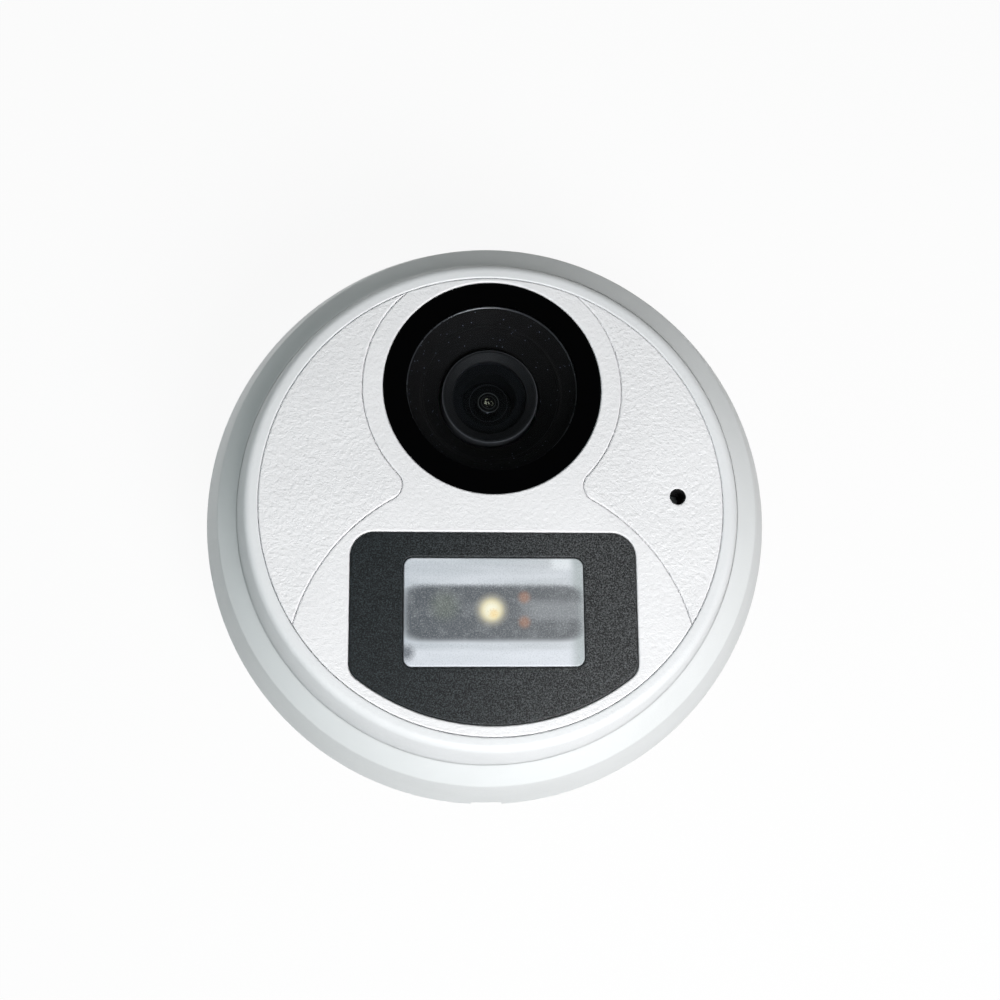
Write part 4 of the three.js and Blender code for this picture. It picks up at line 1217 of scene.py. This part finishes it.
def cable_grommet():
    """The rubber sleeve that the cable passes through."""
    foot = -REAR_FLAT_DEPTH - WORKING_GAP - GLAND_FLANGE_THICKNESS - GROMMET_PROUD
    profile = [
        *sleeve_foot(GROMMET_BORE_RADIUS, GROMMET_RADIUS, foot, GROMMET_EDGE),
        (GROMMET_RADIUS, foot + GROMMET_LENGTH),
        (GROMMET_BORE_RADIUS, foot + GROMMET_LENGTH),
    ]
    shape = turned(profile, steps=SMALL_TURN_STEPS)
    add_piece("cable_grommet", "tail", "rubber", shape, rubber("grommet_rubber"))


# Trim ring and base

def ring_inner_radius(height):
    """The radius of the trim ring's inner cone at a height."""
    top = RING_RISE - RING_LIP_THICKNESS
    foot = RING_BAND - RING_DROP
    top_radius = RING_FRONT_RADIUS - RING_WALL
    foot_radius = SKIRT_RADIUS - SKIRT_WALL
    return foot_radius + (top_radius - foot_radius) * (height - foot) / (top - foot)


def trim_ring():
    """The ring that clamps the ball, with its small pry notch."""
    lip_radius = BALL_RADIUS + BALL_GAP
    band_top = RING_BAND - RING_DROP
    lip_foot = RING_RISE - RING_LIP_THICKNESS
    skirt_foot = -RING_DROP - SKIRT_LENGTH
    skirt_inner = SKIRT_RADIUS - SKIRT_WALL
    corner_height = RING_RISE - RING_LIP_DEPTH
    corner = Vector((sphere_at(lip_radius, corner_height), corner_height))
    rim = Vector((RING_FRONT_RADIUS, RING_RISE - RING_FRONT_DROP))
    band = Vector((RING_RADIUS, band_top))
    along_cone = (rim - corner).normalized()
    along_wall = (band - rim).normalized()
    lip_start = corner + along_cone * RING_LIP_WIDTH
    lip_end = (sphere_at(lip_radius, RING_RISE), RING_RISE)
    profile = [
        *rounded((RING_RADIUS, -RING_DROP), (-RING_FOOT_EDGE, 0), (0, RING_FOOT_EDGE)),
        tuple(band),
        tuple(band - along_wall * HOLDING_WIDTH),
        tuple(rim + along_wall * (RING_EDGE_ROUND + HOLDING_WIDTH)),
        *rounded(rim, along_wall * RING_EDGE_ROUND, along_cone * -RING_EDGE_ROUND),
        *curve(lip_start, corner, lip_end, LONG_ROUND_STEPS),
        (sphere_at(lip_radius, lip_foot), lip_foot),
        (ring_inner_radius(lip_foot), lip_foot),
        (skirt_inner, band_top),
        (skirt_inner, skirt_foot),
        (SKIRT_RADIUS, skirt_foot),
        (SKIRT_RADIUS, -RING_DROP),
    ]
    finish = white_plastic("ring_white", UPRIGHT, PLAIN_GRAIN)
    add_piece("trim_ring", "clamp", "white_housing", turned(profile), finish, cut=notch_tool())


def notch_tool():
    """What is taken out of the ring's foot: a slot with rounded ends."""
    half = NOTCH_WIDTH / 2
    low = -RING_DROP - OVERRUN
    high = NOTCH_HEIGHT - RING_DROP
    turn = NOTCH_HEIGHT / 2
    side = rounded((half, high), (0, -turn), (-turn, 0))
    outline = [(half, low), *side, *mirrored(side), (-half, low)]
    count = len(outline)
    depths = (-RING_RADIUS - NOTCH_DEPTH, NOTCH_DEPTH - RING_RADIUS)
    vertices = [(x, y, z) for y in depths for x, z in outline]
    faces = [list(range(count)), list(range(count, 2 * count))]
    for i in range(count):
        j = (i + 1) % count
        faces.append([i, j, count + j, count + i])
    return vertices, faces


def mounting_base():
    """The round base: outer wall, floor with its holes, and the socket for the swivel seat."""
    top = -RING_DROP - WORKING_GAP
    floor = BASE_FOOT + FLOOR_THICKNESS
    socket_top = -SEAT_FOOT_DROP - WORKING_GAP
    collar_top = socket_top + COLLAR_HEIGHT
    collar = SEAT_RADIUS + WORKING_GAP
    socket_bore = SEAT_RADIUS - SOCKET_WIDTH
    foot_edge = BASE_EDGE_ROUND
    top_edge = BASE_EDGE_ROUND / 2
    profile = [
        (CABLE_HOLE_RADIUS, BASE_FOOT),
        *rounded((BASE_RADIUS, BASE_FOOT), (-foot_edge, 0), (0, foot_edge)),
        *rounded((BASE_RADIUS, top), (0, -top_edge), (-top_edge, 0)),
        (BASE_RADIUS - BASE_WALL, top),
        (BASE_RADIUS - BASE_WALL, floor),
        (collar + COLLAR_WALL, floor),
        (collar + COLLAR_WALL, collar_top),
        (collar, collar_top),
        (collar, socket_top),
        (socket_bore, socket_top),
        (socket_bore, floor),
        (CABLE_HOLE_RADIUS, floor),
    ]
    low = BASE_FOOT - OVERRUN
    high = floor + OVERRUN
    fixing_hole = [(0, low), (FIXING_HOLE_RADIUS, low), (FIXING_HOLE_RADIUS, high), (0, high)]
    holes = round_holes(fixing_hole, FIXING_CIRCLE_RADIUS, FIXING_ANGLES)
    finish = white_plastic("base_white", UPRIGHT, PLAIN_GRAIN)
    add_piece("mounting_base", "base", "white_housing", turned(profile), finish, cut=holes)


# Finishes of the pieces that stay as their solids

def paint(finish, *nodes):
    """Gives CAD nodes one finish."""
    for node in nodes:
        for slot in frame["nodes"][node].material_slots:
            slot.material = finish


def paint_solids():
    """Finishes of the inner pieces."""
    screws = [node for node in frame["nodes"] if "_screw_" in node]
    paint(rubber("seat_rubber", UPRIGHT), "swivel_seat", "grip_ring")
    paint(rubber("seal_rubber"), "shell_seal", "microphone_boot")
    paint(black_plastic("holder_black"), "lens_holder")
    paint(coated_glass("rear_lens_coating", REAR_COATING), "rear_lens")
    paint(chip_plastic(), "image_sensor", "processor")
    paint(circuit_board("board_lacquer", (26, 84, 50), (52, 122, 74)), "sensor_board", "main_board")
    paint(circuit_board("light_board_lacquer", (70, 73, 78), (104, 107, 112)), "light_board")
    paint(metal("die_cast", (168, 170, 172), 1.4, 0.03, 0.48), "chassis")
    paint(metal("screw_steel", (190, 192, 194), 9, 0.006, 0.32), *screws)
    paint(metal("nut_steel", (182, 184, 186), 9, 0.006, 0.34), "gland_nut", "microphone")
    paint(tinted("heat_pad_grey", (136, 142, 152), (152, 158, 168), 1.2, 0.85, 0.03), "heat_pad")
    paint(tinted("connector_ivory", (222, 214, 194), (232, 226, 208), 1.5, 0.5, 0.01), "board_connector")
    paint(tinted("reflector_white", (236, 238, 240), (244, 245, 246), 1, 0.35, 0.004), "reflector")
    paint(tinted("chip_amber", (196, 120, 50), (222, 150, 76), 3, 0.4, 0.01), "upper_chip", "lower_chip")
    paint(tinted("light_warm", (244, 224, 160), (250, 236, 186), 2, 0.25, 0.006), "white_light")
    paint(tinted("light_dark", (50, 58, 46), (70, 78, 64), 2, 0.2, 0.006), "infrared_light")


# Floor, light and camera

def add_floor():
    """A wide pale floor that the camera looks down on."""
    half = FLOOR_SIZE / 2
    corners = [(-half, -half, 0), (half, -half, 0), (half, half, 0), (-half, half, 0)]
    mesh = bpy.data.meshes.new("floor")
    mesh.from_pydata(corners, [], [[0, 1, 2, 3]])
    mesh.materials.append(floor_finish())
    show("floor", mesh)


def add_lamp(name, place, size, power, colour):
    """A round soft lamp that faces the object."""
    lamp = bpy.data.lights.new(name, "AREA")
    lamp.shape = "DISK"
    lamp.size = size
    lamp.energy = power
    lamp.color = colour
    holder = show(name, lamp)
    holder.location = place
    holder.visible_camera = False
    holder.rotation_euler = (Vector(LAMP_AIM) - Vector(place)).to_track_quat("-Z", "Y").to_euler()


def add_world():
    """A pale surround, a little brighter above, that the camera sees white."""
    world = bpy.data.worlds.new("surround")
    tree = Tree(world, "OutputWorld")
    direction = tree.node("TexCoord").outputs["Generated"]
    height = tree.node("SeparateXYZ", Vector=direction).outputs["Z"]
    strength = tree.ramp(height, 0, 1, WORLD_SIDE_STRENGTH, WORLD_TOP_STRENGTH)
    around = tree.node("Background", Color=(*WORLD_COLOUR, 1), Strength=strength)
    seen = tree.node("Background", Color=(1, 1, 1, 1))
    bpy.context.scene.world = tree.blend(tree.node("LightPath").outputs["Is Camera Ray"], around, seen)


def add_camera():
    """The photograph's view."""
    data = bpy.data.cameras.new("camera")
    data.lens = LENS_LENGTH
    data.sensor_width = SENSOR_WIDTH
    data.shift_x = (PICTURE_WIDTH / 2 - CAMERA_MIDDLE[0]) / PICTURE_WIDTH
    data.shift_y = (CAMERA_MIDDLE[1] - PICTURE_WIDTH / 2) / PICTURE_WIDTH
    data.clip_start = CAMERA_NEAREST
    right = Vector(CAMERA_RIGHT).normalized()
    back = Vector(CAMERA_BACK).normalized()
    up = back.cross(right).normalized()
    turn = Matrix((right, up, back)).transposed().to_4x4()
    camera = show("camera", data)
    camera.matrix_world = Matrix.Translation(CAMERA_PLACE) @ turn
    bpy.context.scene.camera = camera
    bpy.context.scene.view_settings.view_transform = "Standard"


def main():
    """Makes the scene."""
    add_camera()
    for lamp in LAMPS:
        add_lamp(*lamp)
    add_world()
    add_floor()
    for make in (
        front_shell, rear_shell, face_cover, centre_panel, lens_window, lens_hood, lens_barrel, front_lens,
        middle_lens, light_panel, light_diffuser, tail_gland, cable_grommet, trim_ring, mounting_base,
    ):
        make()
    paint_solids()


main()
